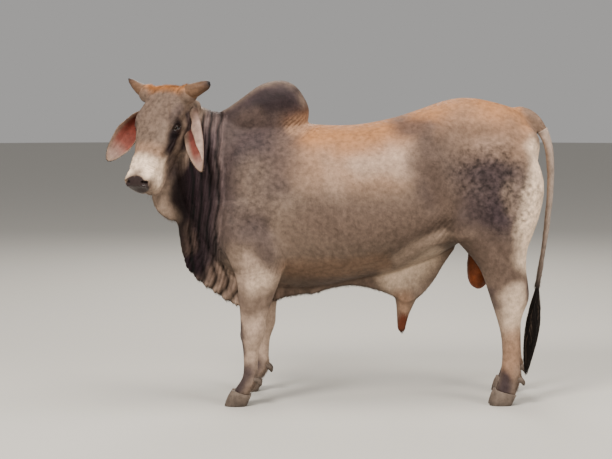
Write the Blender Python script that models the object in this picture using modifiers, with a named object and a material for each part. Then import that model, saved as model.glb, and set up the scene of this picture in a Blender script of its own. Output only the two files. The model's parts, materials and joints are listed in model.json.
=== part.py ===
"""A life-size standing zebu bull: hump, folded neck, dewlap, drooping ears, cloven feet and tufted tail.

Lengths are in metres. The bull faces -X with its left side towards -Y, and stands on z = 0.
"""

import math
import random

import bmesh
import bpy
import numpy as np
from mathutils import Matrix, Vector

BULL, HELPERS = "zebu_bull", "helpers"
GAP = 0.0003
FLESH_VOXEL = 0.007
MASS_VOXEL = 0.016
SIDES = {"left": -1, "right": 1}

# Trunk, from the chest to the rump: x, back, widest, belly, half width, roundness above and below.
TRUNK = [
    (-0.52, 1.14, 0.97, 0.82, 0.070, 2.0, 2.0),
    (-0.46, 1.27, 0.97, 0.70, 0.165, 2.0, 2.0),
    (-0.36, 1.35, 0.98, 0.61, 0.225, 1.9, 2.0),
    (-0.22, 1.38, 0.97, 0.57, 0.262, 1.8, 1.9),
    (-0.06, 1.365, 0.93, 0.545, 0.290, 1.9, 1.8),
    (0.08, 1.350, 0.92, 0.555, 0.318, 2.0, 1.9),
    (0.24, 1.350, 0.92, 0.590, 0.345, 2.1, 2.0),
    (0.40, 1.378, 0.94, 0.620, 0.345, 2.2, 2.1),
    (0.54, 1.420, 0.99, 0.665, 0.320, 2.4, 2.1),
    (0.66, 1.462, 1.06, 0.715, 0.288, 2.5, 2.2),
    (0.78, 1.482, 1.12, 0.785, 0.262, 2.2, 2.2),
    (0.92, 1.458, 1.14, 0.845, 0.240, 2.1, 2.1),
    (1.04, 1.415, 1.15, 0.900, 0.190, 2.0, 2.0),
    (1.12, 1.330, 1.15, 0.960, 0.110, 2.0, 2.0),
]

# Hump: x, top, widest, base, half width, roundness above and below.
HUMP = [
    (-0.46, 1.395, 1.34, 1.25, 0.030, 2.0, 2.0),
    (-0.39, 1.425, 1.36, 1.20, 0.070, 2.0, 2.0),
    (-0.31, 1.480, 1.39, 1.20, 0.100, 2.1, 2.0),
    (-0.22, 1.542, 1.42, 1.22, 0.120, 2.2, 2.0),
    (-0.12, 1.563, 1.43, 1.24, 0.122, 2.3, 2.0),
    (-0.05, 1.535, 1.43, 1.27, 0.105, 2.3, 2.0),
    (-0.005, 1.475, 1.42, 1.33, 0.070, 2.1, 2.0),
    (0.015, 1.430, 1.41, 1.38, 0.020, 2.0, 2.0),
]

# Neck, from inside the shoulders to the skull: x, y, crest, widest, throat, half width.
NECK = [
    (-0.24, 0.000, 1.330, 1.02, 0.640, 0.205),
    (-0.36, 0.000, 1.385, 1.04, 0.650, 0.192),
    (-0.44, 0.000, 1.414, 1.08, 0.700, 0.168),
    (-0.51, -0.005, 1.440, 1.14, 0.790, 0.146),
    (-0.575, -0.012, 1.468, 1.22, 0.900, 0.130),
    (-0.640, -0.022, 1.485, 1.30, 1.040, 0.114),
]

# Limbs, in level slices: height, front, rear, distance from the middle plane, half width.
FORELEG = [
    (0.98, -0.430, -0.170, 0.165, 0.095),
    (0.84, -0.425, -0.110, 0.190, 0.105),
    (0.72, -0.375, -0.090, 0.200, 0.096),
    (0.62, -0.338, -0.118, 0.197, 0.082),
    (0.52, -0.326, -0.155, 0.192, 0.068),
    (0.43, -0.318, -0.185, 0.188, 0.058),
    (0.345, -0.316, -0.196, 0.186, 0.060),
    (0.275, -0.306, -0.222, 0.185, 0.046),
    (0.200, -0.302, -0.230, 0.185, 0.040),
    (0.145, -0.306, -0.230, 0.186, 0.045),
    (0.110, -0.322, -0.236, 0.187, 0.050),
    (0.080, -0.345, -0.255, 0.188, 0.050),
    (0.045, -0.368, -0.272, 0.188, 0.053),
    (0.020, -0.376, -0.280, 0.188, 0.053),
]
HINDLEG = [
    (1.24, 0.700, 1.090, 0.130, 0.100),
    (1.08, 0.660, 1.140, 0.160, 0.122),
    (0.94, 0.665, 1.125, 0.172, 0.122),
    (0.83, 0.685, 1.090, 0.175, 0.112),
    (0.75, 0.762, 1.062, 0.176, 0.095),
    (0.66, 0.830, 1.058, 0.177, 0.076),
    (0.58, 0.862, 1.070, 0.176, 0.062),
    (0.51, 0.885, 1.072, 0.174, 0.056),
    (0.43, 0.912, 1.042, 0.172, 0.052),
    (0.34, 0.936, 1.030, 0.171, 0.041),
    (0.25, 0.944, 1.031, 0.171, 0.039),
    (0.185, 0.941, 1.035, 0.171, 0.043),
    (0.145, 0.935, 1.041, 0.171, 0.050),
    (0.105, 0.923, 1.031, 0.171, 0.050),
    (0.045, 0.901, 1.014, 0.171, 0.053),
    (0.020, 0.893, 1.006, 0.171, 0.053),
]
LIMB_ROUNDNESS = 2.2
# The right legs stand further back than the left ones: by this much at the floor, from this height down.
FORE_STAGGER, HIND_STAGGER = 0.045, 0.055
STAGGER_TOP = 0.80

# Dewlap, a hanging blade from chin to belly: root x, y, z, free edge x, z, half the root's thickness.
DEWLAP = [
    (-0.730, -0.140, 1.125, -0.742, 1.020, 0.026),
    (-0.690, -0.110, 1.160, -0.722, 0.938, 0.030),
    (-0.645, -0.075, 1.165, -0.672, 0.890, 0.034),
    (-0.600, -0.035, 1.090, -0.630, 0.870, 0.036),
    (-0.555, -0.012, 0.950, -0.618, 0.780, 0.040),
    (-0.490, 0.000, 0.840, -0.598, 0.672, 0.044),
    (-0.410, 0.000, 0.740, -0.535, 0.588, 0.046),
    (-0.330, 0.000, 0.680, -0.445, 0.522, 0.044),
    (-0.250, 0.000, 0.640, -0.345, 0.462, 0.042),
    (-0.160, 0.000, 0.615, -0.215, 0.470, 0.042),
    (-0.060, 0.000, 0.600, -0.075, 0.505, 0.046),
    (0.060, 0.000, 0.600, 0.070, 0.525, 0.044),
]
DEWLAP_EDGE = 0.012

# Sheath, the fold of skin under the belly: its root, its free edge, half thickness at the root and edge.
SHEATH = [
    ((0.020, 0.620), (0.020, 0.515), 0.050, 0.030),
    ((0.120, 0.640), (0.120, 0.545), 0.046, 0.024),
    ((0.220, 0.660), (0.225, 0.560), 0.044, 0.022),
    ((0.310, 0.690), (0.320, 0.545), 0.050, 0.028),
    ((0.400, 0.720), (0.400, 0.520), 0.062, 0.040),
    ((0.480, 0.750), (0.490, 0.480), 0.070, 0.050),
    ((0.560, 0.780), (0.560, 0.510), 0.066, 0.045),
    ((0.640, 0.820), (0.625, 0.580), 0.056, 0.030),
    ((0.690, 0.850), (0.680, 0.670), 0.048, 0.022),
    ((0.745, 0.880), (0.730, 0.740), 0.038, 0.018),
]
# The tube at its tip, in level slices: height, front, rear, half width.
SHEATH_TUBE = [
    (0.520, 0.428, 0.560, 0.052),
    (0.470, 0.440, 0.535, 0.042),
    (0.420, 0.444, 0.512, 0.032),
    (0.380, 0.446, 0.500, 0.026),
    (0.340, 0.449, 0.492, 0.021),
    (0.328, 0.456, 0.486, 0.014),
]

# Head space: X runs from the poll down the face, Y to the bull's left and Z out of the forehead.
HEAD_SIDES = {"left": 1, "right": -1}
POLL = Vector((-0.683, -0.100, 1.519))
HEAD_TURN = math.radians(56)
HEAD_DROP = math.radians(60)
# Skull and muzzle: way down the face, dorsal line, widest, ventral line, half width, two roundnesses.
SKULL = [
    (-0.034, -0.034, -0.078, -0.130, 0.092, 2.6, 2.0),
    (0.000, -0.012, -0.074, -0.178, 0.116, 2.7, 2.0),
    (0.050, 0.000, -0.070, -0.208, 0.124, 2.8, 2.0),
    (0.120, 0.005, -0.064, -0.236, 0.125, 2.8, 2.0),
    (0.200, 0.002, -0.062, -0.250, 0.116, 2.7, 2.1),
    (0.270, -0.005, -0.062, -0.238, 0.101, 2.6, 2.1),
    (0.340, -0.010, -0.062, -0.205, 0.085, 2.5, 2.1),
    (0.400, -0.013, -0.060, -0.172, 0.080, 2.4, 2.6),
    (0.440, -0.016, -0.060, -0.152, 0.087, 2.4, 3.0),
    (0.478, -0.026, -0.062, -0.136, 0.084, 2.3, 2.9),
    (0.504, -0.040, -0.064, -0.108, 0.062, 2.2, 2.4),
]
LOWER_JAW = [
    (0.250, -0.140, -0.180, -0.238, 0.062, 2.2, 2.2),
    (0.330, -0.120, -0.160, -0.212, 0.060, 2.2, 2.2),
    (0.400, -0.115, -0.150, -0.196, 0.060, 2.3, 2.3),
    (0.445, -0.115, -0.145, -0.186, 0.060, 2.3, 2.3),
    (0.477, -0.118, -0.142, -0.168, 0.044, 2.2, 2.2),
]
EYE_RADIUS = 0.0215
EYE = Vector((0.186, 0.109, -0.056))
EYE_FACES = Vector((0.0, 0.86, 0.51))
# Horns, from inside the skull to the tip: head space points with the radius there. The left one is blunt.
HORN = {
    "left": [
        (0.006, 0.085, -0.050, 0.040),
        (-0.002, 0.128, -0.038, 0.039),
        (-0.012, 0.165, -0.031, 0.035),
        (-0.025, 0.203, -0.026, 0.029),
        (-0.036, 0.230, -0.023, 0.023),
        (-0.044, 0.246, -0.022, 0.013),
    ],
    "right": [
        (0.006, 0.085, -0.050, 0.038),
        (-0.003, 0.128, -0.040, 0.036),
        (-0.016, 0.168, -0.033, 0.030),
        (-0.036, 0.208, -0.028, 0.023),
        (-0.056, 0.241, -0.024, 0.015),
        (-0.068, 0.259, -0.022, 0.007),
    ],
}
EAR_ROOT = Vector((0.020, 0.114, -0.130))
EAR_LENGTH, EAR_WIDTH, EAR_THICKNESS = 0.370, 0.172, 0.008
# How far the rear edge of each ear folds forward over its cup.
EAR_FOLD = {"left": math.radians(95), "right": math.radians(20)}
# Curl of the ear round its cup at the tip, and how much more at the root.
EAR_CURL, EAR_ROLL = math.radians(80), math.radians(190)
# Each ear's run from root to tip and the way its cup opens, in the bull's own frame.
EAR_RUN = {"left": Vector((0.11, -0.56, -0.81)), "right": Vector((-0.70, 0.04, -0.72))}
EAR_OPENS = {"left": Vector((-0.78, -0.62, 0.05)), "right": Vector((-0.30, -0.95, 0.10))}
# Opening between the lids: half its length and height, and how far it tips from the run of the face.
LID_OPENING = (0.0235, 0.0125)
LID_TILT = math.radians(42)
# The line of the mouth, from the left corner round the front: head space points.
MOUTH = [
    (0.380, 0.066, -0.152),
    (0.425, 0.070, -0.144),
    (0.457, 0.066, -0.138),
    (0.485, 0.052, -0.134),
    (0.501, 0.028, -0.130),
]
MOUTH_GAPE, MOUTH_DEPTH = 0.0035, 0.016
NOSTRIL = Vector((0.477, 0.051, -0.037))
NOSTRIL_RADII = (0.019, 0.011, 0.015)

# Cloven feet: the middle plane of each, its soles' front and rear, its claws' upper front and rear.
FORE_FOOT = (0.188, -0.394, -0.286, -0.354, -0.263)
HIND_FOOT = (0.171, 0.882, 0.992, 0.909, 1.014)
CLAW_APART, CLAW_HALF = 0.0275, 0.0255
CORONET_FRONT, CORONET_REAR = 0.078, 0.050
# Dewclaw: how far behind its root, its height and its radius.
DEWCLAW = [(-0.030, 0.132, 0.013), (0.000, 0.124, 0.013), (0.012, 0.110, 0.0104), (0.014, 0.098, 0.0046)]

# Scrotum, in level slices: height, front, rear, half width.
SCROTUM = [
    (0.850, 0.800, 0.905, 0.045),
    (0.780, 0.803, 0.893, 0.040),
    (0.720, 0.795, 0.897, 0.050),
    (0.650, 0.788, 0.902, 0.060),
    (0.585, 0.795, 0.894, 0.056),
    (0.555, 0.812, 0.876, 0.040),
    (0.543, 0.830, 0.858, 0.018),
]

# Tail: points of its centre line with its radius.
TAIL = [
    (0.985, 1.385, 0.042),
    (1.045, 1.398, 0.040),
    (1.105, 1.375, 0.034),
    (1.150, 1.320, 0.027),
    (1.182, 1.240, 0.021),
    (1.194, 1.130, 0.018),
    (1.192, 1.000, 0.016),
    (1.180, 0.860, 0.014),
    (1.162, 0.720, 0.012),
    (1.145, 0.610, 0.011),
    (1.135, 0.540, 0.010),
]
# The tail's root, as far as the cut that parts it from the rump, and the hanging length below it.
TAIL_CUT = 3.5
# Switch, the tuft at the tail's end: centre x, z and half width of the whole tuft, down to its tips.
SWITCH = [
    (1.140, 0.600, 0.010),
    (1.136, 0.540, 0.020),
    (1.128, 0.460, 0.030),
    (1.118, 0.370, 0.038),
    (1.106, 0.280, 0.036),
    (1.094, 0.190, 0.026),
    (1.085, 0.110, 0.010),
]
# Its core under the hair: z and radius. It ends less than half way down.
SWITCH_CORE = [(0.5997, 0.010), (0.560, 0.013), (0.500, 0.016), (0.440, 0.015), (0.400, 0.007)]
# Locks of its hair: how many, the height their roots and tips lie between, width and thickness.
LOCKS, SWITCH_SEED = 22, 14
LOCK_ROOTS, LOCK_TIPS = (0.575, 0.440), (0.105, 0.250)
LOCK_WIDTH, LOCK_THICKNESS = 0.020, 0.0065
LOCK_SHARES = (0.0, 0.28, 0.56, 0.82, 1.0)
LOCK_TAPER = (0.75, 1.0, 0.95, 0.62, 0.10)

# Muscles, hollows and bones that show at the sides: points x, z, reach and height, a hollow being negative.
FLANK_STROKES = [
    ([(-0.310, 1.160), (-0.345, 1.050), (-0.355, 0.940)], 0.040, 0.005),
    ([(-0.210, 1.200), (-0.250, 1.080), (-0.290, 0.940)], 0.030, 0.006),
    ([(-0.265, 1.140), (-0.300, 1.020)], 0.026, -0.004),
    ([(-0.120, 1.160), (-0.100, 1.040), (-0.090, 0.900), (-0.080, 0.760)], 0.050, -0.008),
    ([(-0.300, 0.800), (-0.210, 0.790), (-0.140, 0.740)], 0.045, 0.012),
    ([(-0.360, 0.870), (-0.370, 0.770), (-0.350, 0.680)], 0.030, 0.010),
    ([(-0.240, 0.900), (-0.180, 0.850)], 0.028, -0.009),
    ([(0.020, 1.060), (0.060, 0.860), (0.090, 0.700)], 0.028, 0.005),
    ([(0.110, 1.060), (0.150, 0.850), (0.180, 0.700)], 0.028, 0.005),
    ([(0.200, 1.060), (0.240, 0.840), (0.265, 0.700)], 0.028, 0.005),
    ([(0.300, 0.640), (0.440, 0.720), (0.560, 0.800), (0.640, 0.860)], 0.035, -0.010),
    ([(0.420, 1.255), (0.500, 1.200), (0.560, 1.100), (0.600, 0.980)], 0.050, -0.018),
    ([(0.380, 1.310), (0.500, 1.325)], 0.030, -0.010),
    ([(0.590, 1.325), (0.610, 1.300)], 0.042, 0.018),
    ([(0.620, 1.180), (0.660, 1.050), (0.690, 0.940)], 0.045, 0.010),
    ([(0.700, 1.320), (0.800, 1.290), (0.900, 1.300)], 0.040, -0.010),
    ([(0.830, 1.230), (0.880, 1.180)], 0.050, 0.010),
    ([(1.060, 1.290), (1.075, 1.250)], 0.040, 0.014),
    ([(0.990, 1.200), (0.985, 1.060), (0.960, 0.930)], 0.028, -0.010),
    ([(0.860, 1.080), (0.840, 0.960)], 0.050, 0.008),
    ([(0.740, 0.900), (0.755, 0.830)], 0.035, 0.012),
    ([(0.880, 0.800), (0.950, 0.700), (0.990, 0.600)], 0.022, -0.007),
    ([(1.010, 0.740), (1.035, 0.650), (1.050, 0.580)], 0.018, 0.004),
    ([(-0.205, 0.560), (-0.220, 0.470), (-0.235, 0.400)], 0.018, -0.006),
    ([(-0.275, 0.600), (-0.280, 0.480)], 0.026, 0.006),
    ([(-0.262, 0.265), (-0.268, 0.180)], 0.012, -0.003),
    ([(0.980, 0.420), (0.975, 0.300), (0.975, 0.200)], 0.012, -0.003),
]
# The same on the head, in head space.
HEAD_STROKES = [
    ([(0.085, 0.080, -0.010), (0.138, 0.104, -0.018), (0.182, 0.110, -0.024)], 0.016, 0.009),
    ([(0.120, 0.126, -0.084), (0.085, 0.126, -0.080)], 0.022, -0.008),
    ([(0.235, 0.104, -0.075), (0.300, 0.086, -0.085), (0.350, 0.078, -0.090)], 0.014, 0.006),
    ([(0.270, 0.074, -0.030), (0.330, 0.066, -0.032)], 0.020, -0.005),
    ([(0.300, 0.086, -0.130), (0.360, 0.076, -0.118)], 0.024, -0.008),
    ([(0.185, 0.110, -0.190), (0.230, 0.100, -0.225)], 0.030, 0.005),
    ([(0.420, 0.066, -0.035), (0.405, 0.074, -0.065)], 0.012, -0.005),
    ([(0.218, 0.094, -0.046), (0.245, 0.086, -0.044)], 0.012, -0.004),
]

# Triangles of each region of the body before it is cut.
REGION_TRIANGLES = {"head": 1700, "neck": 1150, "folds": 600, "hump": 300, "trunk": 1150, "legs": 1000}
# Where the body is cut into nodes, as lines of (x, z, half width). The head's turns with the head.
HEAD_CUT = [
    (-0.500, 1.560, 0.26),
    (-0.515, 1.420, 0.26),
    (-0.545, 1.330, 0.26),
    (-0.565, 1.250, 0.26),
    (-0.590, 1.188, 0.26),
    (-0.660, 1.140, 0.26),
    (-0.760, 1.075, 0.26),
    (-0.850, 1.015, 0.26),
    (-0.960, 0.950, 0.26),
]
HEAD_CUT_TURN = -0.5
DEWLAP_CUT = [
    (-0.655, 1.300, 0.16),
    (-0.648, 1.130, 0.16),
    (-0.632, 1.050, 0.14),
    (-0.600, 0.945, 0.13),
    (-0.525, 0.790, 0.12),
    (-0.475, 0.690, 0.11),
    (-0.410, 0.633, 0.104),
    (-0.360, 0.598, 0.100),
    (-0.220, 0.560, 0.100),
    (-0.060, 0.538, 0.100),
    (0.030, 0.530, 0.100),
    (0.060, 0.500, 0.100),
    (0.070, 0.440, 0.100),
]
HUMP_CUT = [
    (-0.480, 1.462, 0.20),
    (-0.400, 1.420, 0.20),
    (-0.220, 1.392, 0.20),
    (0.030, 1.350, 0.20),
    (0.110, 1.385, 0.20),
]
NECK_CUT = [
    (-0.388, 1.500, 0.40),
    (-0.400, 1.100, 0.40),
    (-0.435, 0.640, 0.40),
    (-0.440, 0.520, 0.40),
]
SHEATH_CUT = [
    (0.075, 0.440, 0.12),
    (0.085, 0.520, 0.12),
    (0.120, 0.552, 0.12),
    (0.240, 0.580, 0.12),
    (0.400, 0.611, 0.12),
    (0.540, 0.656, 0.12),
    (0.660, 0.706, 0.09),
    (0.720, 0.735, 0.06),
    (0.780, 0.730, 0.06),
    (0.800, 0.620, 0.06),
]
# The legs' are lines of x, z over the top of the leg, closed by a wall on its inner side.
FORELEG_CUT = [
    (-0.460, 0.420),
    (-0.455, 0.640),
    (-0.300, 0.680),
    (-0.120, 0.695),
    (-0.095, 0.640),
    (-0.090, 0.420),
]
FORELEG_INNER = 0.108
HINDLEG_CUT = [
    (0.660, 0.540),
    (0.655, 0.745),
    (0.720, 0.850),
    (0.850, 0.895),
    (1.220, 0.950),
    (1.220, 0.540),
]
HINDLEG_INNER = 0.045
LEG_REACH = 0.42
TAIL_END = 0.600
DEWCLAW_SET = {"fore": 0.030, "hind": 0.020}
# Roughly the middle of each node that the cuts make.
CENTRES = {
    "head": Vector((-0.70, -0.10, 1.30)),
    "torso": Vector((0.30, 0, 1.05)),
    "dewlap": Vector((-0.45, 0, 0.70)),
    "hump": Vector((-0.20, 0, 1.47)),
    "neck": Vector((-0.48, 0, 1.10)),
    "foreleg_left": Vector((-0.28, -0.19, 0.35)),
    "foreleg_right": Vector((-0.28, 0.19, 0.35)),
    "hindleg_left": Vector((0.95, -0.17, 0.45)),
    "hindleg_right": Vector((0.95, 0.17, 0.45)),
    "sheath": Vector((0.45, 0, 0.56)),
}

# Colour and roughness of each kind of node.
LOOKS = {
    "torso": ((0.42, 0.33, 0.27), 0.8),
    "hump": ((0.16, 0.12, 0.11), 0.8),
    "neck": ((0.10, 0.07, 0.07), 0.8),
    "dewlap": ((0.24, 0.18, 0.15), 0.8),
    "head": ((0.40, 0.33, 0.28), 0.75),
    "ear": ((0.48, 0.36, 0.32), 0.75),
    "eye": ((0.02, 0.015, 0.012), 0.15),
    "horn": ((0.22, 0.18, 0.14), 0.5),
    "foreleg": ((0.46, 0.38, 0.31), 0.8),
    "hindleg": ((0.46, 0.38, 0.31), 0.8),
    "claw": ((0.07, 0.055, 0.045), 0.5),
    "dewclaw": ((0.07, 0.055, 0.045), 0.5),
    "tail_switch": ((0.02, 0.016, 0.014), 0.7),
    "tail": ((0.44, 0.36, 0.29), 0.8),
    "sheath": ((0.50, 0.40, 0.33), 0.75),
    "scrotum": ((0.50, 0.24, 0.12), 0.7),
}

# Upright folds of loose skin round the neck, and draped ones on the dewlap: spacing and depth.
NECK_FOLDS = (0.042, 0.011)
DEWLAP_FOLDS = (0.055, 0.008)
NECK_FOLDS_FROM, NECK_FOLDS_TO = -0.385, -0.560


def smooth_rows(rows, steps):
    """Catmull-Rom rows through the given ones, with ``steps`` to each span."""
    rows = np.array(rows, float)
    rows = np.vstack([2 * rows[0] - rows[1], rows, 2 * rows[-1] - rows[-2]])
    found = []
    for a, b, c, d in zip(rows, rows[1:], rows[2:], rows[3:]):
        for t in np.arange(steps) / steps:
            bend = (2 * a - 5 * b + 4 * c - d) * t * t + (3 * b - a - 3 * c + d) * t**3
            found.append(b + 0.5 * ((c - a) * t + bend))
    found.append(rows[-2])
    return np.array(found)


def egg(half, above, below, round_above, round_below, around):
    """A closed outline about its widest line, as sideways and upward distances."""
    turn = 2 * math.pi * np.arange(around) / around
    c, s = np.cos(turn), np.sin(turn)
    power = 2 / np.where(s > 0, round_above, round_below)
    reach = np.where(s > 0, above, below)
    return half * np.sign(c) * abs(c) ** power, reach * np.sign(s) * abs(s) ** power


def body_of(name, rings, frame=None):
    """A closed mesh object through rings of points."""
    bm = bmesh.new()
    loops = [[bm.verts.new(p) for p in ring] for ring in rings]
    for a, b in zip(loops, loops[1:]):
        for i in range(len(a)):
            j = (i + 1) % len(a)
            bm.faces.new((a[i], a[j], b[j], b[i]))
    bm.faces.new(reversed(loops[0]))
    bm.faces.new(loops[-1])
    bmesh.ops.recalc_face_normals(bm, faces=bm.faces)
    if frame is not None:
        bm.transform(frame)
    return put(name, bm)


def put(name, bm):
    """Turns a bmesh into an object in the working collection."""
    mesh = bpy.data.meshes.new(name)
    bm.to_mesh(mesh)
    bm.free()
    obj = bpy.data.objects.new(name, mesh)
    bpy.data.collections[BULL].objects.link(obj)
    return obj


def upright_loft(name, rows, steps=4, around=32, frame=None):
    """A body from upright sections: x, y, top, widest, bottom, half width, two roundnesses."""
    rings = []
    rows = smooth_rows(rows, steps)
    headings = np.gradient(rows[:, :2], axis=0)
    for row, (dx, dy) in zip(rows, headings):
        x, y, top, widest, bottom, half, above, below = row
        side = Vector((-dy, dx, 0)).normalized()
        out, up = egg(max(half, 0.004), top - widest, widest - bottom, above, below, around)
        rings.append([Vector((x, y, widest + v)) + side * w for w, v in zip(out, up)])
    return body_of(name, rings, frame)


def level_loft(name, rows, steps=3, around=20, roundness=LIMB_ROUNDNESS):
    """A body from level slices: height, front, rear, y, half width."""
    rings = []
    for z, front, rear, y, half in smooth_rows(rows, steps):
        depth = (rear - front) / 2
        out, along = egg(half, depth, depth, roundness, roundness, around)
        rings.append([Vector((front + depth + a, y + w, z)) for w, a in zip(out, along)])
    return body_of(name, rings)


def blade(name, rows, steps=4, across=9):
    """A hanging fold: rows of root x, y, z, free edge x, y, z, and half thickness at root and edge."""
    rings = []
    rows = smooth_rows(rows, steps)
    runs = np.gradient((rows[:, :3] + rows[:, 3:6]) / 2, axis=0)
    for row, run in zip(rows, runs):
        root, edge = Vector(row[:3]), Vector(row[3:6])
        out = (edge - root).cross(Vector(run)).normalized()
        shares = np.linspace(0, 1, across)
        spine = [(root.lerp(edge, t), row[6] + (row[7] - row[6]) * t) for t in shares]
        rings.append([p - out * w for p, w in spine] + [p + out * w for p, w in reversed(spine)])
    return body_of(name, rings)


def blob(name, centre, radii, frame=None, turn=(0, 0, 0)):
    """An ellipsoid of muscle, fat or bone."""
    bm = bmesh.new()
    bmesh.ops.create_uvsphere(bm, u_segments=24, v_segments=14, radius=1)
    turned = Matrix.Rotation(turn[1], 3, "Y") @ Matrix.Rotation(turn[2], 3, "Z")
    place = Matrix.LocRotScale(Vector(centre), turned, Vector(radii))
    bm.transform((frame or Matrix.Identity(4)) @ place)
    return put(name, bm)


def tube(name, path, radii, around=10, steps=3, flat=1.0, frame=None):
    """A round limb along a path whose radius changes; flat squeezes it sideways."""
    rows = smooth_rows([(*p, r) for p, r in zip(path, radii)], steps)
    centres = rows[:, :3]
    along = np.gradient(centres, axis=0)
    rings = []
    side = Vector((0, 1, 0))
    for centre, run, radius in zip(centres, along, rows[:, 3]):
        run = Vector(run).normalized()
        side = (side - run * side.dot(run)).normalized()
        up = run.cross(side)
        ring = []
        for turn in 2 * math.pi * np.arange(around) / around:
            ring.append(Vector(centre) + (side * math.cos(turn) * flat + up * math.sin(turn)) * float(radius))
        rings.append(ring)
    return body_of(name, rings, frame)


def head_frame():
    """Head space in the bull's own frame."""
    heading = Vector((-math.cos(HEAD_TURN), -math.sin(HEAD_TURN), 0))
    down = heading * math.cos(HEAD_DROP) - Vector((0, 0, math.sin(HEAD_DROP)))
    left = Vector((0, 0, 1)).cross(heading)
    out = down.cross(left)
    frame = Matrix((down, left, out)).transposed().to_4x4()
    frame.translation = POLL
    return frame


HEAD = head_frame()


def baked(obj):
    """Applies the object's modifiers."""
    graph = bpy.context.evaluated_depsgraph_get()
    mesh = bpy.data.meshes.new_from_object(obj.evaluated_get(graph))
    obj.modifiers.clear()
    obj.data = mesh
    return obj


def joined(name, pieces):
    """Several closed pieces as one mesh, still overlapping."""
    bm = bmesh.new()
    for piece in pieces:
        bm.from_mesh(piece.data)
        bpy.data.objects.remove(piece)
    return put(name, bm)


def fused(name, pieces, voxel, rounds):
    """One even skin over all the pieces, with its joints softened."""
    body = joined(name, pieces)
    remesh = body.modifiers.new("skin", "REMESH")
    remesh.mode = "VOXEL"
    remesh.voxel_size = voxel
    soften = body.modifiers.new("soften", "SMOOTH")
    soften.factor = 0.5
    soften.iterations = rounds
    return baked(body)


def mirrored(rows, side):
    """Limb rows moved to one side of the middle plane."""
    return [(z, front, rear, side * out, half) for z, front, rear, out, half in rows]


def masses():
    """The great masses: trunk, shoulders, haunches and neck."""
    pieces = [
        upright_loft("trunk", [(x, 0, t, w, b, h, ra, rb) for x, t, w, b, h, ra, rb in TRUNK]),
        upright_loft("neck", [(x, y, t, w, b, h, 2.1, 2.0) for x, y, t, w, b, h in NECK]),
    ]
    for side in SIDES.values():
        pieces += [
            blob("shoulder blade", (-0.235, side * 0.150, 1.00), (0.175, 0.100, 0.29), turn=(0, -0.22, 0)),
            blob("upper arm", (-0.260, side * 0.178, 0.86), (0.175, 0.098, 0.20), turn=(0, 0.35, 0)),
            blob("hip", (0.64, side * 0.175, 1.30), (0.12, 0.075, 0.070)),
            blob("thigh", (0.89, side * 0.160, 1.06), (0.240, 0.125, 0.27)),
            blob("pin", (1.06, side * 0.100, 1.25), (0.075, 0.055, 0.09)),
            blob("stifle", (0.77, side * 0.190, 0.89), (0.095, 0.075, 0.12), turn=(0, -0.35, 0)),
        ]
    return pieces


def limbs():
    """Four legs in level slices, with the point of the hock."""
    pieces = []
    for side in SIDES.values():
        pieces += [
            level_loft("foreleg", mirrored(FORELEG, side)),
            level_loft("hindleg", mirrored(HINDLEG, side)),
            blob("knee", (-0.268, side * 0.186, 0.345), (0.052, 0.054, 0.06)),
            blob("hock point", (1.046, side * 0.172, 0.535), (0.028, 0.026, 0.05), turn=(0, 0.15, 0)),
        ]
    return pieces


def head_pieces():
    """Skull, jaw and the soft forms of the face, in head space."""
    pieces = [
        upright_loft("skull", [(u, 0, t, w, b, h, ra, rb) for u, t, w, b, h, ra, rb in SKULL], frame=HEAD),
        upright_loft("jaw", [(u, 0, t, w, b, h, ra, rb) for u, t, w, b, h, ra, rb in LOWER_JAW], frame=HEAD),
        blob("poll", (-0.008, 0, -0.052), (0.037, 0.124, 0.046), HEAD),
        blob("upper lip", (0.479, 0, -0.092), (0.036, 0.068, 0.036), HEAD),
        blob("chin", (0.452, 0, -0.156), (0.042, 0.054, 0.034), HEAD),
        blob("throat", (0.190, 0, -0.235), (0.110, 0.050, 0.060), HEAD),
    ]
    for side in HEAD_SIDES.values():
        pieces += [
            blob("brow", (0.140, side * 0.092, -0.026), (0.050, 0.034, 0.026), HEAD),
            blob("orbit", EYE * Vector((1, side, 1)), (0.036, 0.028, 0.032), HEAD),
            blob("cheek", (0.190, side * 0.068, -0.160), (0.085, 0.044, 0.080), HEAD),
            blob("face crest", (0.290, side * 0.068, -0.095), (0.070, 0.024, 0.026), HEAD),
            blob("nostril wing", (0.467, side * 0.050, -0.046), (0.034, 0.030, 0.026), HEAD),
            blob("horn root", (0.003, side * 0.120, -0.042), (0.049, 0.055, 0.047), HEAD),
            blob("ear root", EAR_ROOT * Vector((1, side, 1)), (0.034, 0.026, 0.036), HEAD),
        ]
    return pieces


def bull_skin():
    """The whole bull without ears, horns, eyes, claws and hanging tail, as one even mesh."""
    mass = fused("mass", masses(), MASS_VOXEL, 16)
    root = TAIL[: math.ceil(TAIL_CUT) + 1]
    pieces = [
        mass,
        upright_loft("hump", [(x, 0, t, w, b, h, ra, rb) for x, t, w, b, h, ra, rb in HUMP]),
        blade("dewlap", [(x, y, z, ex, y, ez, t, DEWLAP_EDGE) for x, y, z, ex, ez, t in DEWLAP]),
        blade("sheath", [(x, 0, z, ex, 0, ez, t, e) for (x, z), (ex, ez), t, e in SHEATH]),
        level_loft("sheath tube", [(z, f, r, 0, h) for z, f, r, h in SHEATH_TUBE]),
        tube("tail root", [(x, 0, z) for x, z, r in root], [r for x, z, r in root]),
        *limbs(),
        *head_pieces(),
    ]
    body = fused("bull", pieces, FLESH_VOXEL, 10)
    sculpt(body)
    return body


def places_of(body):
    """Vertex places and outward directions, as arrays."""
    mesh = body.data
    places = np.empty(len(mesh.vertices) * 3, np.float32)
    normals = np.empty_like(places)
    mesh.vertices.foreach_get("co", places)
    mesh.vertex_normals.foreach_get("vector", normals)
    return places.reshape(-1, 3).astype(float), normals.reshape(-1, 3).astype(float)


def set_places(body, places):
    body.data.vertices.foreach_set("co", places.astype(np.float32).ravel())
    body.data.update()


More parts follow.
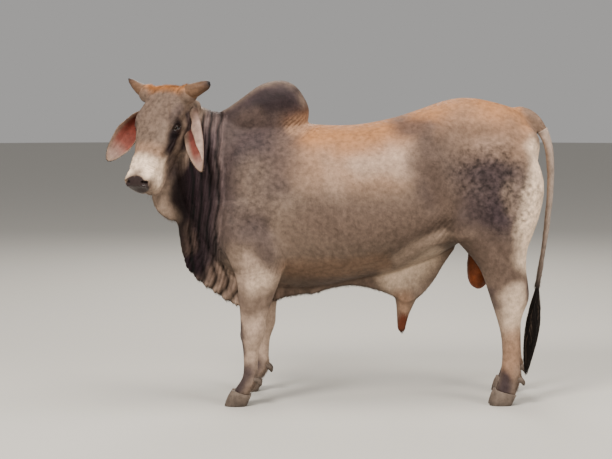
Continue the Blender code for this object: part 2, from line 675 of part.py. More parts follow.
def ramp(values, low, high):
    """A smooth step from 0 at low to 1 at high."""
    share = np.clip((values - low) / (high - low), 0, 1)
    return share * share * (3 - 2 * share)


def distance_to(places, line):
    """Each place's distance to a line of points."""
    nearest = np.full(len(places), np.inf)
    for a, b in zip(line, line[1:]):
        run = b - a
        share = np.clip((places - a) @ run / (run @ run), 0, 1)
        nearest = np.minimum(nearest, np.linalg.norm(places - a - share[:, None] * run, axis=1))
    return nearest


def sculpt(body):
    """Raises muscles and bones, presses hollows, folds the loose skin and sets the right legs back."""
    places, normals = places_of(body)
    offset = np.zeros(len(places))
    outward = ramp(normals[:, 1] * np.sign(places[:, 1]), 0.1, 0.6) * ramp(places[:, 0], -0.48, -0.40)
    for line, reach, height in FLANK_STROKES:
        away = distance_to(places[:, [0, 2]], np.array(line))
        offset += height * np.exp(-((away / reach) ** 2)) * outward
    for line, reach, height in HEAD_STROKES:
        for side in HEAD_SIDES.values():
            points = np.array([HEAD @ (Vector(p) * Vector((1, side, 1))) for p in line])
            offset += height * np.exp(-((distance_to(places, points) / reach) ** 2))
    offset += neck_folds(places) + dewlap_folds(places)
    places += normals * offset[:, None]
    places[:, 0] += stagger(places)
    set_places(body, places)


def neck_folds(places):
    """Height of the upright folds, which run from the crest of the neck down into the dewlap."""
    spacing, depth = NECK_FOLDS
    x, y, z = places.T
    run = x + 0.10 * np.clip(1.15 - z, 0, 1) ** 2 + 0.006 * np.sin(z * 17) + 0.004 * np.sin(z * 41 + y * 20)
    wave = abs(np.sin(math.pi * run / spacing)) - 0.6
    start = ramp(-run, -NECK_FOLDS_FROM - 0.005, -NECK_FOLDS_FROM + 0.03)
    inside = start * ramp(run, NECK_FOLDS_TO - 0.02, NECK_FOLDS_TO + 0.03)
    return depth * wave * inside * ramp(z, 0.62, 0.80) * ramp(-z, -1.43, -1.36)


def dewlap_folds(places):
    """Height of the draped folds of the dewlap, which fan out from the throat."""
    spacing, depth = DEWLAP_FOLDS
    x, y, z = places.T
    away = np.hypot(x + 0.30, z - 1.25)
    turn = np.arctan2(z - 1.25, -(x + 0.30)) * 0.62
    wave = abs(np.sin(math.pi * (turn + 0.02 * np.sin(away * 30)) / spacing)) - 0.6
    low = ramp(-x, 0.05, 0.20) * ramp(-z, -0.80, -0.66) * ramp(-abs(y), -0.10, -0.05)
    return depth * wave * low * ramp(away, 0.45, 0.60)


def stagger(places):
    """How far back the right legs stand, growing from the body down."""
    x, y, z = places.T
    right = ramp(y, 0.03, 0.09) * ramp(-z, -STAGGER_TOP, -0.30)
    return right * np.where(x < 0.3, FORE_STAGGER, HIND_STAGGER)


def thinned(body):
    """Fewer, larger triangles: each region of the body keeps its own number of them."""
    split = body.modifiers.new("split", "TRIANGULATE")
    split.keep_custom_normals = False
    baked(body)
    for region, wanted in REGION_TRIANGLES.items():
        places, _ = places_of(body)
        chosen = region_of(places) == region
        corners = np.empty(len(body.data.polygons) * 3, np.int32)
        body.data.loops.foreach_get("vertex_index", corners)
        inside = chosen[corners.reshape(-1, 3)].all(axis=1).sum()
        group = body.vertex_groups.new(name=region)
        group.add(np.flatnonzero(chosen).tolist(), 1.0, "REPLACE")
        fewer = body.modifiers.new("fewer", "DECIMATE")
        fewer.ratio = 1 - max(inside - wanted, 0) / len(body.data.polygons)
        fewer.vertex_group = region
        baked(body)
    body.vertex_groups.clear()
    even = body.modifiers.new("even", "DECIMATE")
    even.ratio = sum(REGION_TRIANGLES.values()) / len(body.data.polygons)
    return baked(body)


def region_of(places):
    """The region each place belongs to, as a word."""
    x, y, z = places.T
    face = np.array([HEAD @ Vector((0.02, 0, -0.10)), HEAD @ Vector((0.46, 0, -0.08))])
    region = np.full(len(places), "trunk", dtype=object)
    region[(z > 1.35) & (x > -0.42) & (x < 0.05)] = "hump"
    region[x < -0.385] = "neck"
    region[z < 0.66] = "legs"
    region[(z < 0.66) & (abs(y) < 0.09)] = "folds"
    region[distance_to(places, face) < 0.20] = "head"
    return region


def clean(body):
    """Triangles without needles or doubled corners."""
    bm = bmesh.new()
    bm.from_mesh(body.data)
    bmesh.ops.triangulate(bm, faces=bm.faces)
    bmesh.ops.dissolve_degenerate(bm, dist=2e-5, edges=bm.edges)
    bmesh.ops.triangulate(bm, faces=bm.faces)
    alike = {}
    for face in bm.faces:
        alike.setdefault(frozenset(vert.index for vert in face.verts), []).append(face)
    doubled = [face for faces in alike.values() if len(faces) > 1 for face in faces]
    bmesh.ops.delete(bm, geom=doubled, context="FACES")
    bm.to_mesh(body.data)
    bm.free()
    return body


def minus(body, cutter, keep=False):
    """Cuts a closed cutter out of a body and removes the cutter."""
    cut = body.modifiers.new("cut", "BOOLEAN")
    cut.operation = "DIFFERENCE"
    cut.solver = "EXACT"
    cut.object = cutter
    baked(body)
    if not keep:
        bpy.data.objects.remove(cutter)
    return clean(body)


def thin_cutter(name, faces, frame=None):
    """A cutter as thick as the gap between nodes, along a surface given as polygons."""
    bm = bmesh.new()
    for points in faces:
        bm.faces.new([bm.verts.new(p) for p in points])
    bmesh.ops.remove_doubles(bm, verts=bm.verts, dist=1e-5)
    bmesh.ops.recalc_face_normals(bm, faces=bm.faces)
    if frame is not None:
        bm.transform(frame)
    cutter = put(name, bm)
    walls = cutter.modifiers.new("walls", "SOLIDIFY")
    walls.thickness = GAP
    walls.offset = 0
    walls.use_even_offset = True
    return baked(cutter)


def ribbon(name, line, frame=None, turned=0.0):
    """A thin cutter along a line of (x, z, half width), across the middle plane or turned from it."""
    edges = [[Vector((x + turned * y, y, z)) for y in (-half, half)] for x, z, half in line]
    faces = [(p[0], p[1], q[1], q[0]) for p, q in zip(edges, edges[1:])]
    return thin_cutter(name, faces, frame)


def leg_walls(name, line, inner, side):
    """A thin cutter over the top and the inner side of a leg: a line of x, z and how far in it starts."""
    near = [Vector((x, side * inner, z)) for x, z in line]
    far = [Vector((x, side * LEG_REACH, z)) for x, z in line]
    faces = [(near[i], near[i + 1], far[i + 1], far[i]) for i in range(len(line) - 1)]
    return thin_cutter(name, [*faces, tuple(near)])


def loose_pieces(body):
    """Splits a mesh into its closed pieces, the largest first, and removes the whole."""
    bm = bmesh.new()
    bm.from_mesh(body.data)
    bm.faces.ensure_lookup_table()
    seen, pieces = set(), []
    for start in bm.faces:
        if start.index in seen:
            continue
        seen.add(start.index)
        found, queue = [], [start]
        while queue:
            face = queue.pop()
            found.append(face)
            for edge in face.edges:
                for other in edge.link_faces:
                    if other.index not in seen:
                        seen.add(other.index)
                        queue.append(other)
        pieces.append(found)
    made = []
    for found in pieces:
        piece = bmesh.new()
        known = {}
        for face in found:
            corners = []
            for vert in face.verts:
                if vert.index not in known:
                    known[vert.index] = piece.verts.new(vert.co)
                corners.append(known[vert.index])
            piece.faces.new(corners)
        made.append((piece.calc_volume(signed=True), piece))
    bm.free()
    made.sort(key=lambda item: -item[0])
    bpy.data.objects.remove(body)
    return made


def parted(body, cutter, *names):
    """Cuts a body along a thin cutter and keeps the largest pieces, each named by its place."""
    made = loose_pieces(minus(body, cutter))
    kept, dropped = made[: len(names)], made[len(names) :]
    for _, scrap in dropped:
        scrap.free()
    found = {}
    for _, piece in kept:
        corners = np.array([vert.co for vert in piece.verts])
        centre = Vector((corners.min(axis=0) + corners.max(axis=0)) / 2)
        name = min((n for n in names if n not in found), key=lambda n: (CENTRES[n] - centre).length)
        found[name] = put(name, piece)
    return [found[name] for name in names]


def largest(body):
    """Keeps a body's largest closed piece."""
    name = body.name
    made = loose_pieces(body)
    for _, scrap in made[1:]:
        scrap.free()
    return put(name, made[0][1])


def cut_body(body):
    """Parts the whole bull into its named nodes."""
    head, rest = parted(body, ribbon("head cut", HEAD_CUT, turned=HEAD_CUT_TURN), "head", "torso")
    dewlap, rest = parted(rest, ribbon("dewlap cut", DEWLAP_CUT), "dewlap", "torso")
    hump, rest = parted(rest, ribbon("hump cut", HUMP_CUT), "hump", "torso")
    neck, torso = parted(rest, ribbon("neck cut", NECK_CUT), "neck", "torso")
    for word, side in SIDES.items():
        walls = leg_walls("fore cut", FORELEG_CUT, FORELEG_INNER, side)
        foreleg, torso = parted(torso, walls, "foreleg_" + word, "torso")
        walls = leg_walls("hind cut", HINDLEG_CUT, HINDLEG_INNER, side)
        hindleg, torso = parted(torso, walls, "hindleg_" + word, "torso")
        for leg, foot in ((foreleg, FORE_FOOT), (hindleg, HIND_FOOT)):
            parted(leg, coronet_cut(foot, word), leg.name)
    sheath, torso = parted(torso, ribbon("sheath cut", SHEATH_CUT), "sheath", "torso")
    at, run = tail_cut()
    turn = run.to_track_quat("Z", "Y").to_matrix().to_4x4()
    turn.translation = at
    parted(torso, ribbon("tail cut", [(-0.036, 0, 0.036), (0.036, 0, 0.036)], turn), "torso")
    open_head(bpy.data.objects["head"])


def set_back(foot, word):
    """How far this foot stands behind its pair."""
    if word == "left":
        return 0
    return FORE_STAGGER if foot is FORE_FOOT else HIND_STAGGER


def coronet_cut(foot, word):
    """The slanting plane where a leg's skin meets its claws."""
    out, _, _, front, rear = foot
    front, rear = front + set_back(foot, word), rear + set_back(foot, word)
    slope = (CORONET_REAR - CORONET_FRONT) / (rear - front)
    y = SIDES[word] * out
    ends = [Vector((x, y, CORONET_FRONT + slope * (x - front))) for x in (front - 0.05, rear + 0.05)]
    beside = Vector((0, 0.09, 0))
    plane = [ends[0] - beside, ends[0] + beside, ends[1] + beside, ends[1] - beside]
    return thin_cutter("coronet cut", [plane])


def tail_cut():
    """Where the tail leaves the rump, and its direction there."""
    rows = smooth_rows([(x, 0, z) for x, z, r in TAIL], 10)
    at = round(TAIL_CUT * 10)
    return Vector(rows[at]), Vector(rows[at + 1] - rows[at - 1]).normalized()


def open_head(head):
    """Cuts the lids' openings, the eye sockets, the nostrils and the line of the mouth."""
    for side in HEAD_SIDES.values():
        at = EYE * Vector((1, side, 1))
        head = minus(head, lid_cutter(side))
        head = minus(head, ball("socket", at, EYE_RADIUS + GAP))
        nostril = blob("nostril", NOSTRIL * Vector((1, side, 1)), NOSTRIL_RADII, HEAD, (0, 0, side * -0.5))
        head = minus(head, nostril)
    head = minus(head, mouth_cutter())
    return largest(head)


def lid_cutter(side):
    """The almond-shaped opening between the lids, from the middle of the eye outwards."""
    at = EYE * Vector((1, side, 1))
    out = (EYE_FACES * Vector((1, side, 1))).normalized()
    run = Vector((math.cos(LID_TILT), 0, math.sin(LID_TILT)))
    run = (run - out * run.dot(out)).normalized()
    up = out.cross(run)
    half, high = LID_OPENING
    almond = []
    for turn in 2 * math.pi * np.arange(14) / 14:
        share = math.cos(turn)
        lid = math.copysign(1 - share * share, math.sin(turn))
        almond.append(at + run * (half * share) + up * (high * lid))
    rings = [almond, [point + out * 0.05 for point in almond]]
    return body_of("lids", rings, HEAD)


def ball(name, at, radius):
    bm = bmesh.new()
    bmesh.ops.create_uvsphere(bm, u_segments=14, v_segments=8, radius=radius)
    bm.transform(HEAD @ Matrix.Translation(at))
    return put(name, bm)


def mouth_cutter():
    """A thin groove round the muzzle, from one corner of the mouth to the other."""
    path = smooth_rows(MOUTH, 2).tolist()
    path += [(u, -w, v) for u, w, v in reversed(path)]
    rings = []
    runs = np.gradient(np.array(path), axis=0)
    for point, run in zip(path, runs):
        inward = Vector((run[1], -run[0], 0)).normalized()
        if inward.dot(Vector((point[0] - 0.42, point[1], 0))) > 0:
            inward.negate()
        at = Vector(point)
        up = Vector((0, 0, MOUTH_GAPE / 2))
        rings.append([
            at + inward * MOUTH_DEPTH - up * 0.3,
            at - inward * 0.03 - up,
            at - inward * 0.03 + up,
            at + inward * MOUTH_DEPTH + up * 0.3,
        ])
    return body_of("mouth", rings, HEAD)


def ear_section(share, half, curl, fold, across):
    """Points across the ear: how far sideways and towards its opening, and its face's turn there."""
    wide = np.linspace(-1, 1, across + 1)
    turn = curl * wide / 2 - fold * ramp(-wide, 0.02 + 0.62 * share, 0.34 + 0.62 * share)
    middle = (turn[1:] + turn[:-1]) / 2
    step = 2 * half / across
    sideways = np.concatenate([[0], np.cumsum(np.cos(middle) * step)])
    opening = np.concatenate([[0], np.cumsum(np.sin(middle) * step)])
    centre = across // 2
    return zip(wide, sideways - sideways[centre], opening - opening[centre], turn)


def ear_rows(word, along, across):
    """Rows of points on both faces of a cupped leaf, rolled at its root and folded at its rear edge."""
    run = EAR_RUN[word].normalized()
    opens = (EAR_OPENS[word] - run * EAR_OPENS[word].dot(run)).normalized()
    wide = run.cross(opens)
    root = HEAD @ (EAR_ROOT * Vector((1, HEAD_SIDES[word], 1)))
    faces = {"inside": [], "outside": []}
    for i in range(along + 1):
        s = i / along
        leaf = max(math.sin(math.pi * s**0.85), 0) ** 0.65
        half = max(EAR_WIDTH / 2 * leaf, 0.030 * (1 - s) ** 3 + 0.005)
        curl = EAR_CURL + EAR_ROLL * (1 - s) ** 1.6
        fold = EAR_FOLD[word] * float(ramp(s, 0.06, 0.22) * ramp(-s, -0.99, -0.62))
        middle = root + run * (s * EAR_LENGTH) - opens * (0.10 * EAR_LENGTH * (s - s * s))
        section = list(ear_section(s, half, curl, fold, across))
        for layer, lift in (("inside", -0.5), ("outside", 0.5)):
            row = []
            for t, sideways, opening, turn in section:
                out = wide * math.sin(turn) - opens * math.cos(turn)
                thick = EAR_THICKNESS * (1 - 0.45 * s) * (1 - 0.5 * t**4)
                row.append(middle + wide * sideways + opens * opening + out * (lift * thick))
            faces[layer].append(row)
    return faces


def ear(word):
    """One ear, the same grid of triangles on both faces and a strip round its rim."""
    along, across = 10, 12
    faces = ear_rows(word, along, across)
    bm = bmesh.new()
    verts = {layer: [[bm.verts.new(p) for p in row] for row in rows] for layer, rows in faces.items()}
    for layer, rows in verts.items():
        for i in range(along):
            for j in range(across):
                a, b, c, d = rows[i][j], rows[i][j + 1], rows[i + 1][j + 1], rows[i + 1][j]
                bm.faces.new((a, b, c))
                bm.faces.new((a, c, d))
    inside, outside = verts["inside"], verts["outside"]
    rim = [(i, 0) for i in range(along)] + [(along, j) for j in range(across)]
    rim += [(i, across) for i in range(along, 0, -1)] + [(0, j) for j in range(across, 0, -1)]
    for (i, j), (k, l) in zip(rim, rim[1:] + rim[:1]):
        bm.faces.new((inside[i][j], inside[k][l], outside[k][l], outside[i][j]))
    bmesh.ops.recalc_face_normals(bm, faces=bm.faces)
    return put("ear_" + word, bm)


def horn(word):
    side = HEAD_SIDES[word]
    path = [(u, side * w, v) for u, w, v, r in HORN[word]]
    return tube("horn_" + word, path, [r for *_, r in HORN[word]], around=10, steps=2, frame=HEAD)


def claws(leg, foot, word):
    """The two claws of one foot, each flat on the floor and cut to the slope of the coronet."""
    out, front, rear, top_front, top_rear = foot
    back = set_back(foot, word)
    for which, apart in (("inner", -1), ("outer", 1)):
        middle = SIDES[word] * out + SIDES[word] * apart * CLAW_APART
        rings = []
        for share in (0, 0.12, 1):
            a = front + (top_front - front) * share + (0.004 if share == 0 else 0)
            b = rear + (top_rear - rear) * share - (0.004 if share == 0 else 0)
            half = CLAW_HALF - (0.003 if share == 0 else 0.001 * share)
            across, length = egg(half, (b - a) / 2, (b - a) / 2, 2.3, 1.9, 16)
            ring = []
            for w, run in zip(across, length):
                x = (a + b) / 2 + run
                slope = (CORONET_REAR - CORONET_FRONT) / (top_rear - top_front)
                level = CORONET_FRONT + slope * (x - top_front) - GAP
                ring.append(Vector((x + back, middle + w, share * level)))
            rings.append(ring)
        body_of(f"claw_{leg}_{which}_{word}", rings)


def dewclaws(leg, foot, word, skin):
    """The two small claws behind one fetlock."""
    out, top_rear = foot[0], foot[4]
    back = set_back(foot, word)
    for which, apart in (("inner", -1), ("outer", 1)):
        y = SIDES[word] * (out + apart * CLAW_HALF)
        x = top_rear + DEWCLAW_SET[leg] + back
        path = [(x + along, y, high) for along, high, _ in DEWCLAW]
        radii = [radius for *_, radius in DEWCLAW]
        piece = tube(f"dewclaw_{leg}_{which}_{word}", path, radii, around=8, steps=1)
        largest(minus(piece, skin, keep=True))


def tail(skin):
    """The hanging tail, from the cut at the rump to the switch."""
    rows = smooth_rows([(x, 0, z, r) for x, z, r in TAIL], 2)[round(TAIL_CUT * 2) :]
    at, run = tail_cut()
    path = [tuple(at + run * GAP / 2)] + [tuple(row[:3]) for row in rows[1:] if row[2] > TAIL_END + 0.02]
    radii = [float(row[3]) for row in rows[: len(path)]]
    path.append((SWITCH[0][0], 0, TAIL_END))
    radii.append(SWITCH[0][2])
    return largest(minus(straight_tube("tail", path, radii), skin, keep=True))


def straight_tube(name, path, radii, around=10):
    """A tube with its last ring level."""
    piece = tube(name, path, radii, around=around, steps=1)
    bm = bmesh.new()
    bm.from_mesh(piece.data)
    bm.verts.ensure_lookup_table()
    for vert in list(bm.verts)[-around:]:
        vert.co.z = path[-1][2]
    bm.to_mesh(piece.data)
    bm.free()
    return piece


def switch():
    """The tuft of long hair: a short core with bending, overlapping locks, as one body."""
    chance = random.Random(SWITCH_SEED)
    core = [(z, middle_of_switch(z) - r, middle_of_switch(z) + r, 0, r) for z, r in SWITCH_CORE]
    whole = level_loft("tail_switch", core, steps=1, around=10, roundness=2.0)
    locks = bpy.data.collections.new("locks")
    bpy.context.scene.collection.children.link(locks)
    for number in range(LOCKS):
        piece = lock(f"lock {number}", 2.4 * number, (number + chance.random()) / LOCKS, chance)
        bpy.data.collections[BULL].objects.unlink(piece)
        locks.objects.link(piece)
    union = whole.modifiers.new("union", "BOOLEAN")
    union.operation = "UNION"
    union.operand_type = "COLLECTION"
    union.collection = locks
    union.solver = "MANIFOLD"
    baked(whole)
    for piece in list(locks.objects):
        bpy.data.objects.remove(piece)
    bpy.data.collections.remove(locks)
    return largest(clean(whole))


def middle_of_switch(z):
    """Where the middle of the hanging hair lies at this height."""
    xs, heights, _ = np.array(SWITCH).T
    return float(np.interp(-z, -heights, xs))


def lock(name, bearing, depth, chance):
    """One flat, tapered lock of hair: it fans out from the core, follows the tuft and bends in."""
    top = LOCK_ROOTS[0] + (LOCK_ROOTS[1] - LOCK_ROOTS[0]) * depth
    low = LOCK_TIPS[0] + (LOCK_TIPS[1] - LOCK_TIPS[0]) * chance.random() ** 1.5
    _, heights, halves = np.array(SWITCH).T
    reach = 0.55 + 0.40 * chance.random()
    sway = chance.uniform(-0.35, 0.35)
    rings = []
    for share, taper in zip(LOCK_SHARES, LOCK_TAPER):
        z = top + (low - top) * share
        turn = bearing + sway * share
        out = Vector((math.cos(turn), math.sin(turn), 0))
        side = Vector((-out.y, out.x, 0))
        away = float(np.interp(-z, -heights, halves)) * reach * min(share * 2.5, 1) + 0.004
        middle = Vector((middle_of_switch(z), 0, z)) + out * away
        across = side * (LOCK_WIDTH / 2 * taper)
        through = out * (LOCK_THICKNESS / 2 * (0.3 + 0.7 * taper))
        rings.append([middle - across, middle - through, middle + across, middle + through])
    return body_of(name, rings)


def inflated(body):
    """A copy of the whole body, larger all round by the gap between nodes."""
    copy = bpy.data.objects.new("inflated", body.data.copy())
    bpy.data.collections[HELPERS].objects.link(copy)
    copy.hide_render = True
    copy.display_type = "WIRE"
    grow = copy.modifiers.new("grow", "DISPLACE")
    grow.strength = 1.5 * GAP
    grow.mid_level = 0
    return baked(copy)


def finish():
    """Sets the origin under the middle of the bull, and gives each node its material."""
    nodes = list(bpy.data.collections[BULL].objects)
    corners = np.array([v.co for obj in nodes for v in obj.data.vertices])
    low, high = corners.min(axis=0), corners.max(axis=0)
    shift = Vector((-(low[0] + high[0]) / 2, -(low[1] + high[1]) / 2, -low[2]))
    for obj in nodes:
        obj.data.transform(Matrix.Translation(shift))
        kind = next(word for word in LOOKS if obj.name.startswith(word))
        colour, roughness = LOOKS[kind]
        material = bpy.data.materials.new(obj.name)
        material.use_nodes = True
        shader = material.node_tree.nodes["Principled BSDF"]
        shader.inputs["Base Color"].default_value = (*colour, 1)
        shader.inputs["Roughness"].default_value = roughness
        obj.data.materials.clear()
        obj.data.materials.append(material)


def clear_scene():
    """Empties the scene and makes the bull's collection and the helpers' one."""
    for obj in list(bpy.data.objects):
        bpy.data.objects.remove(obj)
    for name in (BULL, HELPERS):
        bpy.context.scene.collection.children.link(bpy.data.collections.new(name))


def main():
    clear_scene()
    body = thinned(bull_skin())
    skin = inflated(body)
    cut_body(body)
    for word in SIDES:
        ball("eye_" + word, EYE * Vector((1, HEAD_SIDES[word], 1)), EYE_RADIUS)
        largest(minus(ear(word), skin, keep=True))
        largest(minus(horn(word), skin, keep=True))
        for leg, foot in (("fore", FORE_FOOT), ("hind", HIND_FOOT)):
            claws(leg, foot, word)
            dewclaws(leg, foot, word, skin)
    tail(skin)
    switch()
    scrotum = level_loft("scrotum", [(z, front, rear, 0, half) for z, front, rear, half in SCROTUM], 2, 14)
    largest(minus(scrotum, skin, keep=True))
    bpy.data.objects.remove(skin)
    finish()


main()
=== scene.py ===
import json
import math
from itertools import product

import bmesh
import bpy
import numpy as np
from mathutils import Matrix, Vector

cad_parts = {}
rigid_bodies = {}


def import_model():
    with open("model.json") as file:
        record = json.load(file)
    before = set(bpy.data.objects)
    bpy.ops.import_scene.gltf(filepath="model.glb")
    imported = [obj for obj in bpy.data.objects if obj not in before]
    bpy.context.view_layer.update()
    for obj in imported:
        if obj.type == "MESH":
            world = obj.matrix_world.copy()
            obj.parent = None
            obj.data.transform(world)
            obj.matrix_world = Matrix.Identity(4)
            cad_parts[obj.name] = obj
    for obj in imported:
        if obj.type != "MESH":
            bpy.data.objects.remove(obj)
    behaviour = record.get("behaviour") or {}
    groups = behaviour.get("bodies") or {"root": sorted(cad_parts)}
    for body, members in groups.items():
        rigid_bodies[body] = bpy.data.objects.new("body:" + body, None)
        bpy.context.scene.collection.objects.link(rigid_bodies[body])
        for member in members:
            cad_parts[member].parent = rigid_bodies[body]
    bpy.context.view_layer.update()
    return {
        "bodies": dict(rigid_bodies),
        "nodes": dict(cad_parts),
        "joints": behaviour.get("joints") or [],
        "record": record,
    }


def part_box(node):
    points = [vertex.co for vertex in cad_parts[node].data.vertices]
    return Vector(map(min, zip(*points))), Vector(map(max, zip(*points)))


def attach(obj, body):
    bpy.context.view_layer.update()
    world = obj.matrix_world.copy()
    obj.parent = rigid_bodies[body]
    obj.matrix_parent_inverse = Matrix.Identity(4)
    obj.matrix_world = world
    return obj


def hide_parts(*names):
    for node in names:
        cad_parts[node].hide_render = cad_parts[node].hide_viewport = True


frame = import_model()

# The bull is modelled in its own frame, with the middle plane at y = 0, and every piece is shifted from
# there into the frame of the CAD nodes. The camera stands level with the back, well out to the left side.
CLAW_CORNER = Vector((-0.390, -0.24088, 0.0))
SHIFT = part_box("claw_fore_outer_left")[0] - CLAW_CORNER
SHIFT.z = 0.0

camera_data = bpy.data.cameras.new("camera")
camera_data.sensor_width = 36
camera_data.lens = 90.4
camera = bpy.data.objects.new("camera", camera_data)
camera.location = Vector((0, -7.5, 1.5)) + SHIFT
camera.rotation_euler = (math.pi / 2 - math.atan(136.5 / 1537), 0, 0)
bpy.context.scene.collection.objects.link(camera)
bpy.context.scene.camera = camera


# The hide: one unbroken skin over trunk, hump, neck, dewlap, head, legs and sheath, of loose short-haired
# cattle skin. Great masses are lofted and fused, softened, then muscles, hollows and folds are pushed in.
HIDE_DEPTH = 0.0022
FLESH_VOXEL, MASS_VOXEL = 0.007, 0.016
LEG_SIDES = {"left": -1, "right": 1}
HEAD_SIDES = {"left": 1, "right": -1}

# Trunk, from the chest to the rump: x, back, widest, belly, half width, roundness above and below.
TRUNK = [
    (-0.52, 1.14, 0.97, 0.82, 0.070, 2.0, 2.0),
    (-0.46, 1.27, 0.97, 0.70, 0.165, 2.0, 2.0),
    (-0.36, 1.35, 0.98, 0.61, 0.225, 1.9, 2.0),
    (-0.22, 1.38, 0.97, 0.57, 0.262, 1.8, 1.9),
    (-0.06, 1.365, 0.93, 0.545, 0.290, 1.9, 1.8),
    (0.08, 1.350, 0.92, 0.555, 0.318, 2.0, 1.9),
    (0.24, 1.350, 0.92, 0.590, 0.345, 2.1, 2.0),
    (0.40, 1.378, 0.94, 0.620, 0.345, 2.2, 2.1),
    (0.54, 1.420, 0.99, 0.665, 0.320, 2.4, 2.1),
    (0.66, 1.462, 1.06, 0.715, 0.288, 2.5, 2.2),
    (0.78, 1.482, 1.12, 0.785, 0.262, 2.2, 2.2),
    (0.92, 1.458, 1.14, 0.845, 0.240, 2.1, 2.1),
    (1.04, 1.415, 1.15, 0.900, 0.190, 2.0, 2.0),
    (1.12, 1.330, 1.15, 0.960, 0.110, 2.0, 2.0),
]

# Hump: x, top, widest, base, half width, roundness above and below.
HUMP = [
    (-0.46, 1.395, 1.34, 1.25, 0.030, 2.0, 2.0),
    (-0.39, 1.425, 1.36, 1.20, 0.070, 2.0, 2.0),
    (-0.31, 1.480, 1.39, 1.20, 0.100, 2.1, 2.0),
    (-0.22, 1.542, 1.42, 1.22, 0.120, 2.2, 2.0),
    (-0.12, 1.563, 1.43, 1.24, 0.122, 2.3, 2.0),
    (-0.05, 1.535, 1.43, 1.27, 0.105, 2.3, 2.0),
    (-0.005, 1.475, 1.42, 1.33, 0.070, 2.1, 2.0),
    (0.015, 1.430, 1.41, 1.38, 0.020, 2.0, 2.0),
]

# Neck, from inside the shoulders to the skull: x, y, crest, widest, throat, half width.
NECK = [
    (-0.24, 0.000, 1.330, 1.02, 0.640, 0.205),
    (-0.36, 0.000, 1.385, 1.04, 0.650, 0.192),
    (-0.44, 0.000, 1.414, 1.08, 0.700, 0.168),
    (-0.51, -0.005, 1.440, 1.14, 0.790, 0.146),
    (-0.575, -0.012, 1.468, 1.22, 0.900, 0.130),
    (-0.640, -0.022, 1.485, 1.30, 1.040, 0.114),
]

# Limbs, in level slices: height, front, rear, distance from the middle plane, half width.
FORELEG = [
    (0.98, -0.430, -0.170, 0.165, 0.095),
    (0.84, -0.425, -0.110, 0.190, 0.105),
    (0.72, -0.375, -0.090, 0.200, 0.096),
    (0.62, -0.338, -0.118, 0.197, 0.082),
    (0.52, -0.326, -0.155, 0.192, 0.068),
    (0.43, -0.318, -0.185, 0.188, 0.058),
    (0.345, -0.316, -0.196, 0.186, 0.060),
    (0.275, -0.306, -0.222, 0.185, 0.046),
    (0.200, -0.302, -0.230, 0.185, 0.040),
    (0.145, -0.306, -0.230, 0.186, 0.045),
    (0.110, -0.322, -0.236, 0.187, 0.050),
    (0.080, -0.345, -0.255, 0.188, 0.050),
    (0.045, -0.368, -0.272, 0.188, 0.053),
    (0.020, -0.376, -0.280, 0.188, 0.053),
]
HINDLEG = [
    (1.24, 0.700, 1.090, 0.130, 0.100),
    (1.08, 0.660, 1.140, 0.160, 0.122),
    (0.94, 0.665, 1.125, 0.172, 0.122),
    (0.83, 0.685, 1.090, 0.175, 0.112),
    (0.75, 0.762, 1.062, 0.176, 0.095),
    (0.66, 0.830, 1.058, 0.177, 0.076),
    (0.58, 0.862, 1.070, 0.176, 0.062),
    (0.51, 0.885, 1.072, 0.174, 0.056),
    (0.43, 0.912, 1.042, 0.172, 0.052),
    (0.34, 0.936, 1.030, 0.171, 0.041),
    (0.25, 0.944, 1.031, 0.171, 0.039),
    (0.185, 0.941, 1.035, 0.171, 0.043),
    (0.145, 0.935, 1.041, 0.171, 0.050),
    (0.105, 0.923, 1.031, 0.171, 0.050),
    (0.045, 0.901, 1.014, 0.171, 0.053),
    (0.020, 0.893, 1.006, 0.171, 0.053),
]
LIMB_ROUNDNESS = 2.2
# The right legs stand further back than the left ones: by this much at the floor, from this height down.
FORE_STAGGER, HIND_STAGGER = 0.045, 0.055
STAGGER_TOP = 0.80

# Dewlap, a hanging blade from chin to belly: root x, y, z, free edge x, z, half the root's thickness.
DEWLAP = [
    (-0.730, -0.140, 1.125, -0.742, 1.020, 0.026),
    (-0.690, -0.110, 1.160, -0.722, 0.938, 0.030),
    (-0.645, -0.075, 1.165, -0.672, 0.890, 0.034),
    (-0.600, -0.035, 1.090, -0.630, 0.870, 0.036),
    (-0.555, -0.012, 0.950, -0.618, 0.780, 0.040),
    (-0.490, 0.000, 0.840, -0.598, 0.672, 0.044),
    (-0.410, 0.000, 0.740, -0.535, 0.588, 0.046),
    (-0.330, 0.000, 0.680, -0.445, 0.522, 0.044),
    (-0.250, 0.000, 0.640, -0.345, 0.462, 0.042),
    (-0.160, 0.000, 0.615, -0.215, 0.470, 0.042),
    (-0.060, 0.000, 0.600, -0.075, 0.505, 0.046),
    (0.060, 0.000, 0.600, 0.070, 0.525, 0.044),
]
DEWLAP_EDGE = 0.012

# Sheath, the fold of skin under the belly: its root, its free edge, half thickness at the root and edge.
SHEATH = [
    ((0.020, 0.620), (0.020, 0.515), 0.050, 0.030),
    ((0.120, 0.640), (0.120, 0.545), 0.046, 0.024),
    ((0.220, 0.660), (0.225, 0.560), 0.044, 0.022),
    ((0.310, 0.690), (0.320, 0.545), 0.050, 0.028),
    ((0.400, 0.720), (0.400, 0.520), 0.062, 0.040),
    ((0.480, 0.750), (0.490, 0.480), 0.070, 0.050),
    ((0.560, 0.780), (0.560, 0.510), 0.066, 0.045),
    ((0.640, 0.820), (0.625, 0.580), 0.056, 0.030),
    ((0.690, 0.850), (0.680, 0.670), 0.048, 0.022),
    ((0.745, 0.880), (0.730, 0.740), 0.038, 0.018),
]
